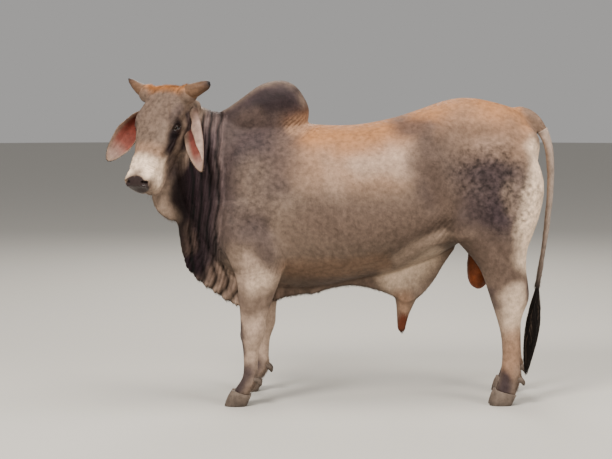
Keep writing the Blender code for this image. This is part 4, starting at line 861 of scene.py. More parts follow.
def end_at_claws(places):
    """Closes the skin of each leg just inside the top of its claws, with a cleft between them."""
    for foot, back in ((FORE_FOOT, FORE_STAGGER), (HIND_FOOT, HIND_STAGGER)):
        out, _, _, front, rear = foot
        slope = (CORONET_REAR - CORONET_FRONT) / (rear - front)
        for side in LEG_SIDES.values():
            shift = back if side > 0 else 0.0
            x, y, z = places.T
            mine = (abs(y - side * out) < 0.12) & (abs(x - shift - (front + rear) / 2) < 0.20) & (z < 0.30)
            away = y - side * out
            ends = ramp(abs(x - shift - (front + rear) / 2), 0.018, 0.040)
            cleft = 0.020 * np.exp(-((away / 0.0075) ** 2)) * ramp(-z, -0.125, -0.085) * ends * mine
            x = x + cleft * np.sign((front + rear) / 2 + shift - x)
            cover = CORONET_FRONT + slope * (x - shift - front) - 0.0015
            under = mine & (z < cover)
            deep = np.clip((cover - z) / 0.05, 0, 1)
            middle = np.array([(front + rear) / 2 + shift, side * out])
            shrink = np.where(under, 0.90 - 0.55 * deep, 1.0)
            x = middle[0] + (x - middle[0]) * shrink
            y = middle[1] + (y - middle[1]) * shrink
            z = np.where(under, CORONET_FRONT + slope * (x - shift - front) - 0.004 - 0.006 * deep, z)
            places = np.where(mine[:, None], np.stack([x, y, z], axis=1), places)
    return places


# Colours of the hair and skin, in linear light.
PALETTE = {
    "cream": (0.80, 0.60, 0.44),
    "pale": (0.42, 0.300, 0.225),
    "tan": (0.300, 0.175, 0.108),
    "warm": (0.320, 0.140, 0.055),
    "orange": (0.420, 0.160, 0.045),
    "taupe": (0.185, 0.130, 0.098),
    "umber": (0.115, 0.076, 0.058),
    "grey": (0.070, 0.048, 0.043),
    "slate": (0.036, 0.024, 0.027),
    "soot": (0.0060, 0.0022, 0.0042),
    "nose": (0.034, 0.023, 0.022),
    "rust": (0.085, 0.018, 0.006),
}
# Body marks with painted shade and light, laid one over the other: colour, strength, reach and a line of (x, z).
BODY_MARKS_AND_SHADING = [
    ("tan", 0.90, 0.150, [(-0.06, 1.22), (0.15, 1.20), (0.38, 1.20)]),
    ("pale", 0.60, 0.070, [(0.26, 1.17), (0.36, 1.19), (0.46, 1.17)]),
    ("tan", 0.75, 0.070, [(0.24, 1.30), (0.40, 1.33), (0.58, 1.38)]),
    ("umber", 0.60, 0.055, [(0.30, 1.345), (0.48, 1.35), (0.63, 1.41)]),
    # Painted highlight: a pale streak down the ribs.
    ("pale", 0.22, 0.050, [(0.10, 1.25), (0.14, 1.02)]),
    ("warm", 0.95, 0.100, [(0.00, 1.34), (0.19, 1.33), (0.36, 1.36), (0.56, 1.40), (0.75, 1.455),
                           (1.10, 1.37)]),
    ("tan", 0.70, 0.110, [(0.75, 1.34), (1.00, 1.26)]),
    ("umber", 0.80, 0.120, [(0.06, 0.90), (0.25, 0.90), (0.45, 0.89), (0.60, 0.94)]),
    ("tan", 0.55, 0.050, [(-0.08, 0.67), (0.15, 0.65), (0.38, 0.69)]),
    # Painted shade along the underside of the belly.
    ("umber", 0.75, 0.045, [(0.00, 0.575), (0.20, 0.575), (0.40, 0.605)]),
    # Painted shade in the hollow of the flank in front of the hip, and down its rear edge.
    ("grey", 0.80, 0.060, [(0.44, 1.33), (0.53, 1.31), (0.57, 1.18), (0.58, 1.02)]),
    ("umber", 0.72, 0.120, [(0.62, 1.24), (0.64, 1.12), (0.70, 0.96)]),
    ("grey", 0.80, 0.120, [(0.78, 1.12), (0.90, 1.08), (0.93, 0.98), (0.88, 0.86)]),
    ("slate", 0.78, 0.078, [(0.84, 1.12), (0.91, 1.06), (0.92, 0.94)]),
    ("taupe", 0.65, 0.042, [(0.955, 1.04), (0.965, 0.96)]),
    ("slate", 0.75, 0.075, [(0.79, 0.97), (0.87, 0.90)]),
    ("umber", 0.55, 0.090, [(0.72, 1.28), (0.92, 1.26)]),
    ("pale", 0.75, 0.032, [(0.46, 0.73), (0.56, 0.80), (0.66, 0.835), (0.76, 0.80)]),
    ("umber", 0.86, 0.080, [(0.76, 0.78), (0.92, 0.70), (0.96, 0.60)]),
    ("cream", 0.92, 0.062, [(1.12, 1.24), (1.11, 1.02), (1.07, 0.85), (1.040, 0.70)]),
    ("cream", 0.62, 0.055, [(0.985, 0.52), (0.985, 0.42), (0.985, 0.36)]),
    ("tan", 0.80, 0.055, [(0.985, 0.32), (0.985, 0.20)]),
    ("slate", 0.60, 0.022, [(0.89, 0.56), (0.905, 0.48)]),
    ("slate", 0.70, 0.022, [(1.065, 0.575), (1.060, 0.520)]),
    ("slate", 0.92, 0.036, [(0.975, 0.150), (0.955, 0.100), (0.945, 0.070)]),
    ("pale", 0.90, 0.110, [(-0.25, 0.68), (-0.25, 0.52), (-0.26, 0.32), (-0.27, 0.22)]),
    ("cream", 0.35, 0.060, [(-0.22, 0.60), (-0.235, 0.50)]),
    ("grey", 0.85, 0.075, [(-0.225, 0.86), (-0.19, 0.74)]),
    ("slate", 0.88, 0.024, [(-0.318, 0.40), (-0.318, 0.33), (-0.305, 0.26)]),
    ("slate", 0.88, 0.042, [(-0.290, 0.160), (-0.320, 0.115), (-0.350, 0.075)]),
    ("cream", 0.62, 0.055, [(0.42, 0.60), (0.50, 0.62), (0.60, 0.70)]),
    ("tan", 0.70, 0.045, [(0.475, 0.50), (0.472, 0.44)]),
    ("rust", 0.95, 0.034, [(0.472, 0.385), (0.470, 0.330)]),
    ("grey", 0.85, 0.100, [(-0.130, 1.28), (-0.170, 1.08)]),
    ("slate", 0.88, 0.105, [(-0.26, 1.34), (-0.29, 1.20), (-0.32, 1.08)]),
    ("grey", 0.75, 0.090, [(-0.30, 1.02), (-0.33, 0.86)]),
    ("slate", 0.93, 0.125, [(-0.42, 1.44), (-0.25, 1.50), (-0.12, 1.50), (-0.06, 1.49)]),
    ("soot", 0.55, 0.050, [(-0.22, 1.44), (-0.14, 1.46), (-0.10, 1.46)]),
    ("taupe", 0.85, 0.036, [(-0.38, 1.46), (-0.25, 1.555), (-0.12, 1.580), (-0.02, 1.545), (0.02, 1.46)]),
    ("umber", 0.40, 0.050, [(-0.30, 1.37), (-0.24, 1.37)]),
    ("tan", 0.80, 0.040, [(-0.01, 1.36), (-0.06, 1.33)]),
    ("slate", 0.96, 0.105, [(-0.47, 1.26), (-0.48, 1.15), (-0.49, 0.98), (-0.50, 0.80), (-0.54, 0.68)]),
    ("soot", 0.60, 0.070, [(-0.50, 1.20), (-0.50, 1.00), (-0.52, 0.76)]),
    ("grey", 0.70, 0.050, [(-0.52, 1.42), (-0.43, 1.40)]),
    ("soot", 0.92, 0.075, [(-0.58, 1.14), (-0.59, 1.02), (-0.62, 0.90), (-0.61, 0.78), (-0.56, 0.64)]),
    ("umber", 0.85, 0.055, [(-0.44, 0.600), (-0.36, 0.53), (-0.26, 0.49), (-0.10, 0.53)]),
    ("taupe", 0.60, 0.040, [(-0.355, 0.72), (-0.365, 0.62), (-0.330, 0.56)]),
    ("umber", 0.35, 0.036, [(-0.57, 0.84), (-0.56, 0.76)]),
    ("taupe", 0.55, 0.080, [(-0.25, 1.12), (-0.27, 1.03)]),
    ("pale", 0.80, 0.050, [(-0.72, 1.06), (-0.70, 0.96), (-0.68, 0.90)]),
    ("taupe", 0.85, 0.045, [(1.075, 1.42), (1.120, 1.38), (1.150, 1.30)]),
]
# Head marks with painted shade in head space, where w is the distance from its middle plane: a line of (u, w, v).
HEAD_MARKS_AND_SHADING = [
    ("umber", 0.55, 0.080, [(0.06, 0.00, 0.00), (0.26, 0.00, 0.00)]),
    ("umber", 0.60, 0.050, [(0.04, 0.08, 0.00), (0.13, 0.09, 0.00)]),
    ("orange", 0.90, 0.044, [(-0.045, 0.00, -0.040), (-0.030, 0.100, -0.045)]),
    ("orange", 0.55, 0.040, [(-0.020, 0.120, -0.035), (-0.020, 0.150, -0.030)]),
    ("umber", 0.60, 0.070, [(0.09, 0.12, -0.15), (0.20, 0.10, -0.19), (0.27, 0.08, -0.18)]),
    ("slate", 0.80, 0.060, [(0.10, 0.08, -0.26), (0.22, 0.05, -0.27), (0.32, 0.04, -0.24)]),
    ("tan", 0.60, 0.040, [(0.320, 0.00, 0.00), (0.325, 0.06, -0.03)]),
    ("cream", 0.97, 0.042, [(0.385, 0.00, -0.010), (0.395, 0.05, -0.020), (0.42, 0.06, -0.030)]),
    ("cream", 0.97, 0.044, [(0.395, 0.08, -0.080), (0.44, 0.09, -0.105)]),
    ("pale", 0.70, 0.034, [(0.40, 0.06, -0.15), (0.46, 0.06, -0.15)]),
    ("grey", 0.60, 0.034, [(0.310, 0.070, -0.120), (0.322, 0.062, -0.167), (0.385, 0.056, -0.180)]),
    ("slate", 0.55, 0.024, [(0.087, 0.112, -0.035), (0.124, 0.112, -0.020), (0.160, 0.108, -0.022)]),
    ("soot", 0.94, 0.030, [(0.165, 0.118, -0.050), (0.205, 0.115, -0.056)]),
    ("soot", 0.94, 0.030, [(0.225, 0.110, -0.062), (0.255, 0.106, -0.074), (0.285, 0.096, -0.078)]),
    # Painted shade along the crease that runs from below the eye down to the cheek.
    ("slate", 0.80, 0.020, [(0.091, 0.116, -0.090), (0.126, 0.118, -0.124), (0.173, 0.114, -0.139),
                            (0.231, 0.103, -0.153)]),
]
# The bare nose pad: centre, radii in head space. The insides of the nostrils are darkened as painted shade.
NOSE_PAD = ((0.495, 0.0, -0.048), (0.047, 0.069, 0.050))


def painted(places, marks, colours):
    """Lays each mark over the colours, with a plain middle and a soft rim, painted shade and light alike."""
    for name, strength, reach, line in marks:
        away = distance_to(places, np.array(line))
        share = strength * ramp(-away, -1.7 * reach, -0.30 * reach)
        colours = colours + share[:, None] * (np.array(PALETTE[name]) - colours)
    return colours


def markings_and_shading(places, normals, height):
    """Colour, bareness and mottling of the hide; folds get painted light on ridges, painted shade in grooves."""
    count = len(places)
    x, y, z = places.T
    right_leg = np.where(y > 0.03, 1.0, 0.0) * stagger(places)
    warp = 0.030 * lumps(places, 0.14, 31) + 0.012 * lumps(places, 0.045, 32)
    flat = np.stack([x - right_leg + warp, z + 0.8 * warp], axis=1)
    colours = painted(flat, BODY_MARKS_AND_SHADING, np.tile(PALETTE["taupe"], (count, 1)))
    local = in_head(places)
    folded = one_side(local) + 0.30 * warp[:, None]
    face = painted(folded, HEAD_MARKS_AND_SHADING, np.tile(PALETTE["taupe"], (count, 1)))
    axis = np.array([[0.0, 0.0, -0.09], [0.46, 0.0, -0.08]])
    on_head = ramp(-distance_to(local, axis), -0.185, -0.150) * ramp(local[:, 2], -0.30, -0.25)
    colours += on_head[:, None] * (face - colours)
    rel = (one_side(local) - NOSE_PAD[0]) / NOSE_PAD[1]
    pad = ramp(-np.linalg.norm(rel, axis=1), -1.08, -0.94)
    colours += pad[:, None] * (np.array(PALETTE["nose"]) - colours)
    bare = pad.copy()
    for side in HEAD_SIDES.values():
        # Painted shade deep in each nostril.
        hole = np.array(NOSTRIL - NOSTRIL_OUT.normalized() * 0.014) * (1, side, 1)
        inner = ramp(-np.linalg.norm(local - hole, axis=1), -0.018, -0.012)
        colours += inner[:, None] * (np.array([0.020, 0.010, 0.010]) - colours)
        middle, _, _, out = eye_axes(side)
        away = np.linalg.norm(local - np.array(middle + out * 0.010), axis=1)
        inner = ramp(-away, -0.023, -0.017)
        colours += inner[:, None] * (np.array([0.020, 0.010, 0.009]) - colours)
        bare = np.maximum(bare, np.maximum(inner, ramp(-away, -0.032, -0.026) * 0.7))
    tip = ramp(-np.linalg.norm(flat - (0.470, 0.335), axis=1), -0.050, -0.030) * (abs(y) < 0.06)
    bare = np.maximum(bare, tip)
    mottle = 0.35 + 0.65 * ramp(-distance_to(flat, np.array([(0.84, 1.12), (0.95, 0.98)])), -0.22, -0.08)
    mottle += 0.2 * ramp(-distance_to(flat, np.array([(-0.22, 1.25), (-0.27, 0.95)])), -0.20, -0.08)
    mottle = np.maximum(mottle, 0.55 * on_head) * (1 - bare)
    # Painted shade: the underside of the body, away from the head, is darkened.
    colours *= (1 - 0.45 * ramp(-normals[:, 2], 0.15, 0.75) * (1 - on_head))[:, None]
    # Painted shade in the fold grooves and painted light on the fold ridges.
    shade = np.clip(1 + 170 * np.clip(height, -0.009, 0.007), 0.12, 2.2)
    colours = np.clip(colours * shade[:, None], 0.004, 0.9)
    return colours, bare, np.clip(mottle, 0, 1)


def set_attribute(mesh, name, kind, values):
    """A named value at each vertex, for the shaders."""
    layer = mesh.attributes.new(name, kind, "POINT")
    if kind == "FLOAT_COLOR":
        values = np.hstack([values, np.ones((len(values), 1))])
        layer.data.foreach_set("color", values.astype(np.float32).ravel())
    elif kind == "FLOAT_VECTOR":
        layer.data.foreach_set("vector", values.astype(np.float32).ravel())
    else:
        layer.data.foreach_set("value", values.astype(np.float32))


def set_down(piece, slot, *nodes):
    """Shifts a piece from the bull's own frame into the shared one and ties it to the model."""
    piece.data.transform(Matrix.Translation(SHIFT))
    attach(piece, "root")
    if nodes:
        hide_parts(*nodes)
    return piece


def new_group(name, inputs, outputs):
    """An empty shader node group with its sockets. Returns it with its input and output nodes."""
    group = bpy.data.node_groups.new(name, "ShaderNodeTree")
    for label, kind, value in inputs:
        socket = group.interface.new_socket(label, in_out="INPUT", socket_type=kind)
        if value is not None:
            socket.default_value = value
    for label, kind in outputs:
        group.interface.new_socket(label, in_out="OUTPUT", socket_type=kind)
    return group, group.nodes.new("NodeGroupInput"), group.nodes.new("NodeGroupOutput")


def noise_node(tree, scale, detail=3.0, stretch=(1, 1, 1)):
    """Noise in the piece's own metres, stretched along the axes. Returns its value."""
    where = tree.nodes.new("ShaderNodeTexCoord")
    spread = tree.nodes.new("ShaderNodeVectorMath")
    spread.operation = "MULTIPLY"
    spread.inputs[1].default_value = stretch
    noise = tree.nodes.new("ShaderNodeTexNoise")
    noise.inputs["Scale"].default_value = scale
    noise.inputs["Detail"].default_value = detail
    tree.links.new(where.outputs["Object"], spread.inputs[0])
    tree.links.new(spread.outputs[0], noise.inputs["Vector"])
    return noise.outputs["Fac"]


def math_node(tree, operation, first, second):
    """A math node between two sockets or numbers. Returns its result."""
    node = tree.nodes.new("ShaderNodeMath")
    node.operation = operation
    for socket, value in zip(node.inputs, (first, second)):
        if isinstance(value, (int, float)):
            socket.default_value = value
        else:
            tree.links.new(value, socket)
    return node.outputs[0]


def tone_group():
    """Uneven tone of short hair: broad clouds, dark curls where it is mottled, and fine streaks."""
    group, entry, leave = new_group(
        "coat_tone",
        [("Colour", "NodeSocketColor", None), ("Mottle", "NodeSocketFloat", 0.3)],
        [("Colour", "NodeSocketColor")],
    )
    clouds = math_node(group, "SUBTRACT", noise_node(group, 7.0), 0.5)
    curls = math_node(group, "SUBTRACT", noise_node(group, 44.0, 4.0), 0.5)
    curls = math_node(group, "MULTIPLY", curls, entry.outputs["Mottle"])
    streaks = math_node(group, "SUBTRACT", noise_node(group, 300.0, 2.0, (1, 1, 0.35)), 0.5)
    total = 1.0
    for part, share in ((clouds, 0.45), (curls, 3.2), (streaks, 0.55)):
        total = math_node(group, "ADD", math_node(group, "MULTIPLY", part, share), total)
    scale = group.nodes.new("ShaderNodeVectorMath")
    scale.operation = "SCALE"
    group.links.new(entry.outputs["Colour"], scale.inputs[0])
    group.links.new(total, scale.inputs["Scale"])
    group.links.new(scale.outputs[0], leave.inputs["Colour"])
    return group


def relief_group():
    """Fine relief of short hair lying on the skin, as a normal."""
    group, entry, leave = new_group(
        "hair_relief",
        [("Strength", "NodeSocketFloat", 0.5)],
        [("Normal", "NodeSocketVector")],
    )
    hairs = noise_node(group, 260.0, 3.0, (1, 1, 0.30))
    pores = noise_node(group, 90.0, 2.0)
    bump = group.nodes.new("ShaderNodeBump")
    bump.inputs["Distance"].default_value = 0.0016
    height = math_node(group, "ADD", hairs, pores)
    group.links.new(height, bump.inputs["Height"])
    group.links.new(entry.outputs["Strength"], bump.inputs["Strength"])
    group.links.new(bump.outputs["Normal"], leave.inputs["Normal"])
    return group


TONE, RELIEF = tone_group(), relief_group()


def attribute_node(tree, name):
    node = tree.nodes.new("ShaderNodeAttribute")
    node.attribute_name = name
    return node


def new_material(name):
    """A new material, with its node tree and its shader."""
    material = bpy.data.materials.new(name)
    material.use_nodes = True
    return material, material.node_tree, material.node_tree.nodes["Principled BSDF"]


def hair_material(name, roughness, relief):
    """Hair or hide, coloured by painted marks and painted light and shade, toned by the two shared groups."""
    material, tree, shader = new_material(name)
    tone = tree.nodes.new("ShaderNodeGroup")
    tone.node_tree = TONE
    tree.links.new(attribute_node(tree, "coat_colour_and_shading").outputs["Color"], tone.inputs["Colour"])
    tree.links.new(attribute_node(tree, "mottle").outputs["Fac"], tone.inputs["Mottle"])
    tree.links.new(tone.outputs["Colour"], shader.inputs["Base Color"])
    shader.inputs["Roughness"].default_value = roughness
    shader.inputs["Specular IOR Level"].default_value = 0.12
    if relief:
        bump = tree.nodes.new("ShaderNodeGroup")
        bump.node_tree = RELIEF
        bump.inputs["Strength"].default_value = relief
        tree.links.new(bump.outputs["Normal"], shader.inputs["Normal"])
    return material


def hide_material():
    """The hide: hair tone and relief, glossier where the skin is bare and wet."""
    material = hair_material("hide", 0.62, 0.55)
    tree = material.node_tree
    shader = tree.nodes["Principled BSDF"]
    bare = attribute_node(tree, "bare").outputs["Fac"]
    shine = math_node(tree, "SUBTRACT", 0.62, math_node(tree, "MULTIPLY", bare, 0.30))
    tree.links.new(shine, shader.inputs["Roughness"])
    return material


# The share of its faces that the hide keeps, most of them on the face and in the folds.
HIDE_KEPT = 0.40
REPLACED = ["torso", "hump", "neck", "dewlap", "head", "sheath"]
REPLACED += ["foreleg_left", "foreleg_right", "hindleg_left", "hindleg_right"]


def make_hide():
    """Models, folds and paints the hide. It returns the piece while still in the bull's own frame."""
    hide = bull_form()
    refine(hide, in_folds, 3)
    sculpt(hide)
    refine(hide, in_face, 2)
    refine(hide, round_eyes, 1)
    places, normals = places_of(hide)
    places -= HIDE_DEPTH * normals
    local = in_head(places)
    on_face = np.linalg.norm(local - np.array([0.25, 0, -0.09]), axis=1) < 0.36
    turned = normals @ HEAD_WAYS
    local[on_face] += turned[on_face] * face_relief(local[on_face])[:, None]
    local[on_face] = shape_muzzle(local[on_face])
    places[on_face] = out_of_head(local[on_face])
    moved = places.copy()
    moved[on_face] = out_of_head(shape_lids(places)[on_face])
    moved = end_at_claws(moved)
    set_places(hide, moved)
    # Heights of the side folds, used to paint shade into the grooves and light onto the ridges.
    height = (neck_folds(places) + dewlap_folds(places)) * (abs(normals[:, 1]) > 0.2)
    colours, bare, mottle = markings_and_shading(moved, normals, height)
    set_attribute(hide.data, "coat_colour_and_shading", "FLOAT_COLOR", colours)
    set_attribute(hide.data, "bare", "FLOAT", bare)
    set_attribute(hide.data, "mottle", "FLOAT", mottle)
    fewer = hide.modifiers.new("fewer faces", "DECIMATE")
    fewer.ratio = HIDE_KEPT
    hide = baked(hide)
    hide.data.materials.clear()
    hide.data.materials.append(hide_material())
    hide.data.shade_smooth()
    return hide


hide = make_hide()


# The coat: short, sleek hair over all the hide, as thin flat tufts that lie along the skin with their roots
# in it. Each piece covers one part of the bull, with the smallest tufts on the face and the feet.
COAT_SEED = 5
# How deep a tuft's root sits in the skin, and how wide a tuft is on its map.
TUFT_SINK = 0.0005
TUFT_PATCH = 0.003
HEAD_MIDDLE = (0.22, 0, -0.11)
# Part, number of tufts, their length, width and lift off the skin at the tip.
COAT_PARTS = {
    "head": (46000, 0.0085, 0.0011, 0.0007),
    "neck": (44000, 0.0105, 0.0013, 0.0009),
    "shoulder": (44000, 0.0140, 0.0015, 0.0010),
    "barrel": (48000, 0.0150, 0.0016, 0.0011),
    "haunch": (48000, 0.0145, 0.0016, 0.0011),
    "legs": (44000, 0.0100, 0.0013, 0.0009),
}


def from_head(places):
    """Each place's distance from the middle of the head."""
    return np.linalg.norm(in_head(places) - np.array(HEAD_MIDDLE), axis=1)


def part_of(places):
    """The coat part that each place of the hide belongs to, as a word."""
    x, y, z = places.T
    part = np.full(len(places), "barrel", dtype=object)
    part[x > 0.60] = "haunch"
    part[x < -0.03] = "shoulder"
    part[(z < 0.62) & (abs(y) > 0.085)] = "legs"
    part[(x < -0.385) & (z > 0.45)] = "neck"
    part[from_head(places) < 0.29] = "head"
    return part


def scatter(mesh, weight, count, chance):
    """Picks places on a mesh, more where the weight is greater: three vertices and their shares for each."""
    mesh.calc_loop_triangles()
    corners = np.empty(len(mesh.loop_triangles) * 3, np.int32)
    mesh.loop_triangles.foreach_get("vertices", corners)
    corners = corners.reshape(-1, 3)
    spots = np.empty(len(mesh.vertices) * 3, np.float32)
    mesh.vertices.foreach_get("co", spots)
    spots = spots.reshape(-1, 3)[corners].astype(float)
    area = np.linalg.norm(np.cross(spots[:, 1] - spots[:, 0], spots[:, 2] - spots[:, 0]), axis=1)
    pull = np.cumsum(area * weight[corners].mean(axis=1))
    chosen = np.searchsorted(pull, chance.random(count) * pull[-1])
    first, second = chance.random(count), chance.random(count)
    over = first + second > 1
    first[over], second[over] = 1 - first[over], 1 - second[over]
    return corners[chosen], np.stack([1 - first - second, first, second], axis=1)


def carried(values, corners, shares):
    """Values of the vertices, blended at the picked places."""
    return (values[corners] * shares[:, :, None]).sum(axis=1)


def unit(ways):
    return ways / (np.linalg.norm(ways, axis=1)[:, None] + 1e-12)


def laid(ways, normals):
    """The ways turned to lie along the skin."""
    return unit(ways - normals * (ways * normals).sum(axis=1)[:, None])


def lie_of(places, normals):
    """The way the hair lies: back and down the trunk, straight down the legs and folds, and down the face."""
    x, y, z = places.T
    low = ramp(-z, -0.95, -0.60)
    front = ramp(-x, 0.34, 0.44)
    ways = np.stack([0.85 - 0.80 * low - 0.55 * front, 0 * y, -0.45 - 0.55 * low - 0.50 * front], axis=1)
    on_head = ramp(-from_head(places), -0.32, -0.26)
    face = HEAD_WAYS @ np.array([1.0, 0.0, -0.15])
    ways += on_head[:, None] * (face - ways)
    ways = ways + 0.14 * np.stack([lumps(places, 0.11, seed) for seed in (41, 42, 43)], axis=1)
    return laid(ways, normals)


def atlas(places):
    """Where each place lies on a flat unwrap of the skin: both sides of the trunk, the head, and each leg."""
    x, y, z = places.T
    side = np.where(y < 0, 0.0, 0.5)
    turn = np.arctan2(abs(y) + 0.01, z - 1.0) / math.pi
    across, up = 0.01 + side + 0.47 * np.clip((x + 0.80) / 2.05, 0, 1), 0.51 + 0.47 * turn
    leg = (z < 0.62) & (abs(y) > 0.085)
    number = np.where(x > 0.3, 2, 0) + (y > 0)
    middle = np.where(x > 0.3, 0.975, -0.265)
    round_leg = np.arctan2(abs(y) - 0.185, x - middle) / (2 * math.pi) + 0.5
    across = np.where(leg, 0.005 + 0.25 * number + 0.235 * round_leg, across)
    up = np.where(leg, 0.01 + 0.23 * z / 0.62, up)
    local = in_head(places)
    on_head = from_head(places) < 0.29
    round_head = np.arctan2(local[:, 1], local[:, 2] + 0.11) / (2 * math.pi) + 0.5
    across = np.where(on_head, 0.01 + 0.97 * round_head, across)
    up = np.where(on_head, 0.26 + 0.23 * np.clip((local[:, 0] + 0.08) / 0.62, 0, 1), up)
    return np.stack([across, up], axis=1)


def slivers(name, spots, looks, patch):
    """A mesh of tufts: each a closed three-sided sliver, with three corners a step and one at its point.

    The looks are the colour and mottling of each tuft, and the patch is its place on the map.
    """
    count, tip = len(spots), len(spots[0]) - 1
    sides = ((0, 1), (1, 2), (2, 0))
    faces = [(0, 2, 1)]
    for a in range(0, tip - 3, 3):
        for i, j in sides:
            faces += [(a + i, a + j, a + j + 3), (a + i, a + j + 3, a + i + 3)]
    faces += [(tip - 3 + i, tip - 3 + j, tip) for i, j in sides]
    corners = (np.array(faces)[None] + (np.arange(count) * (tip + 1))[:, None, None]).ravel()
    mesh = bpy.data.meshes.new(name)
    mesh.vertices.add(count * (tip + 1))
    mesh.vertices.foreach_set("co", spots.astype(np.float32).ravel())
    mesh.loops.add(len(corners))
    mesh.loops.foreach_set("vertex_index", corners.astype(np.int32))
    mesh.polygons.add(len(corners) // 3)
    mesh.polygons.foreach_set("loop_start", np.arange(0, len(corners), 3, dtype=np.int32))
    mesh.update(calc_edges=True)
    colours, mottle = looks
    set_attribute(mesh, "coat_colour_and_shading", "FLOAT_COLOR", np.repeat(colours, tip + 1, axis=0))
    set_attribute(mesh, "mottle", "FLOAT", np.repeat(mottle, tip + 1))
    local = [((0.0, 1.0, 0.5)[i % 3], (i // 3 + 0.25 * (i % 3 == 2)) / (tip // 3)) for i in range(tip)]
    local = np.array(local + [(0.5, 1.0)]) - 0.5
    flat = (patch[:, None] + TUFT_PATCH * local[None]).reshape(-1, 2)[corners]
    layer = mesh.uv_layers.new(name="OFBake")
    layer.data.foreach_set("uv", flat.astype(np.float32).ravel())
    piece = bpy.data.objects.new(name, mesh)
    bpy.context.scene.collection.objects.link(piece)
    return piece


def hair(name, roots, normals, ways, sizes, looks, patch, steps=1, bend=0.0):
    """Tufts along these ways, of these lengths, widths and lifts. The bend moves each tip by that vector."""
    length, width, lift = sizes
    side = unit(np.cross(normals, ways))
    spots = np.empty((len(roots), steps * 3 + 1, 3))

    def spine(share):
        along = ways * (length * share)[:, None] + normals * (lift * share**1.4 - TUFT_SINK)[:, None]
        return roots + along + bend * share**2

    for step in range(steps):
        share = step / steps
        middle = spine(share)
        half = (width / 2 * (1 - share) ** 0.7)[:, None]
        spots[:, step * 3] = middle - side * half
        spots[:, step * 3 + 1] = middle + side * half
        spots[:, step * 3 + 2] = middle + normals * half * 0.7
    spots[:, -1] = spine(1.0)
    piece = slivers(name, spots, looks, patch)
    # Normals close to the skin's own, each a little turned, so that no two tufts catch the light alike.
    turned = np.random.default_rng(len(roots)).normal(0, 0.15, (len(roots), 3))
    shine = np.repeat(unit(normals + turned), steps * 3 + 1, axis=0)
    piece.data.normals_split_custom_set_from_vertices(shine)
    return piece


def hide_values():
    """Places, normals, colours, mottling and bareness at the hide's vertices."""
    mesh = hide.data
    places, normals = places_of(hide)
    colours = np.empty(len(places) * 4, np.float32)
    mesh.attributes["coat_colour_and_shading"].data.foreach_get("color", colours)
    found = [places, normals, colours.reshape(-1, 4)[:, :3].astype(float)]
    for name in ("mottle", "bare"):
        values = np.empty(len(places), np.float32)
        mesh.attributes[name].data.foreach_get("value", values)
        found.append(values.astype(float))
    return found


def varied(colours, chance, spread=0.12):
    """Each tuft a little lighter or darker than the skin under it."""
    return np.clip(colours * (1 + chance.normal(0, spread, len(colours)))[:, None], 0.003, 0.95)


def make_coat(values, material):
    chance = np.random.default_rng(COAT_SEED)
    places, normals, colours, mottle, bare = values
    part = part_of(places)
    local = in_head(places)
    sunk = np.zeros(len(places))
    for side in HEAD_SIDES.values():
        middle, _, _, out = eye_axes(side)
        away = np.linalg.norm(local - np.array(middle + out * 0.008), axis=1)
        sunk = np.maximum(sunk, ramp(-away, -0.026, -0.022))
    feet = places[:, 2] < 0.052
    for name, (count, length, width, lift) in COAT_PARTS.items():
        weight = (part == name) * np.clip(1 - 1.1 * bare - sunk, 0, 1) * (1 - feet)
        small = np.ones(len(places))
        if name == "head":
            small = 0.60 + 0.40 * ramp(-local[:, 0], -0.38, -0.20)
        if name == "legs":
            small = 0.65 + 0.35 * ramp(places[:, 2], 0.15, 0.30)
        corners, shares = scatter(hide.data, weight / small**1.6, count, chance)
        size = carried(small[:, None], corners, shares)[:, 0] * chance.uniform(0.70, 1.30, count)
        roots, out = carried(places, corners, shares), unit(carried(normals, corners, shares))
        ways = lie_of(roots, out)
        swing = np.cross(out, ways) * chance.normal(0, 0.10, count)[:, None]
        ways = unit(ways + swing)
        mottling = carried(mottle[:, None], corners, shares)[:, 0]
        looks = (varied(carried(colours, corners, shares), chance), mottling)
        sizes = np.outer((length, width, lift), size)
        piece = hair("coat_" + name, roots, out, ways, sizes, looks, atlas(roots))
        piece.data.materials.append(material)
        set_down(piece, "hide")


coat_material = hair_material("coat", 0.55, 0.0)
make_coat(hide_values(), coat_material)


# The longer hair among the coat: a tuft over the poll, whiskers round the lips, a fringe along the free edges
# of dewlap and sheath, and feathering behind the fetlocks. Each is a piece of thin, bent, tapered locks.
FRINGE_SEED = 17
# Piece: locks, their length, width and lift off the skin at the tip.
FRINGES = {
    "hair_poll": (4200, 0.026, 0.0012, 0.0060),
    "hair_lips": (260, 0.026, 0.0006, 0.0190),
    "hair_edges": (3600, 0.017, 0.0011, 0.0030),
    "hair_fetlocks": (3600, 0.021, 0.0011, 0.0040),
}


def fringe_weights(places, normals):
    """Where each piece of longer hair grows, and the way it hangs there."""
    x, y, z = places.T
    local = in_head(places)
    u, w, v = local.T
    crown = distance_to(one_side(local), np.array([(-0.035, 0.0, -0.045), (-0.025, 0.095, -0.050)]))
    face, side, _ = HEAD_WAYS.T
    lips = np.exp(-(((u - 0.455) / 0.035) ** 2)) * ramp(-v, 0.13, 0.16) * (u < 0.60) * (abs(w) < 0.09)
    dewlap_edge = (x < 0.05) & (z < 1.05) & (abs(y) < 0.12)
    sheath_edge = (x > 0.05) & (x < 0.70) & (z < 0.66) & (abs(y) < 0.08)
    middle = abs(y) < 0.03 + 0.10 * (x < -0.6)
    edges = (dewlap_edge | sheath_edge) * middle * ramp(-normals[:, 2], 0.55, 0.85)
    feet = (z > 0.085) * (z < 0.175) * (abs(y) > 0.09) * ramp(normals[:, 0], 0.35, 0.75)
    down = np.tile((0.10, 0.0, -1.0), (len(places), 1))
    over = face + np.outer(np.sign(w) * 0.55 * ramp(abs(w), 0.01, 0.09), side)
    return {
        "hair_poll": (np.exp(-((crown / 0.026) ** 2)) * (u < 0.03), over),
        "hair_lips": (lips, down + face * 0.5),
        "hair_edges": (edges, down),
        "hair_fetlocks": (feet, down + (0.35, 0, 0)),
    }


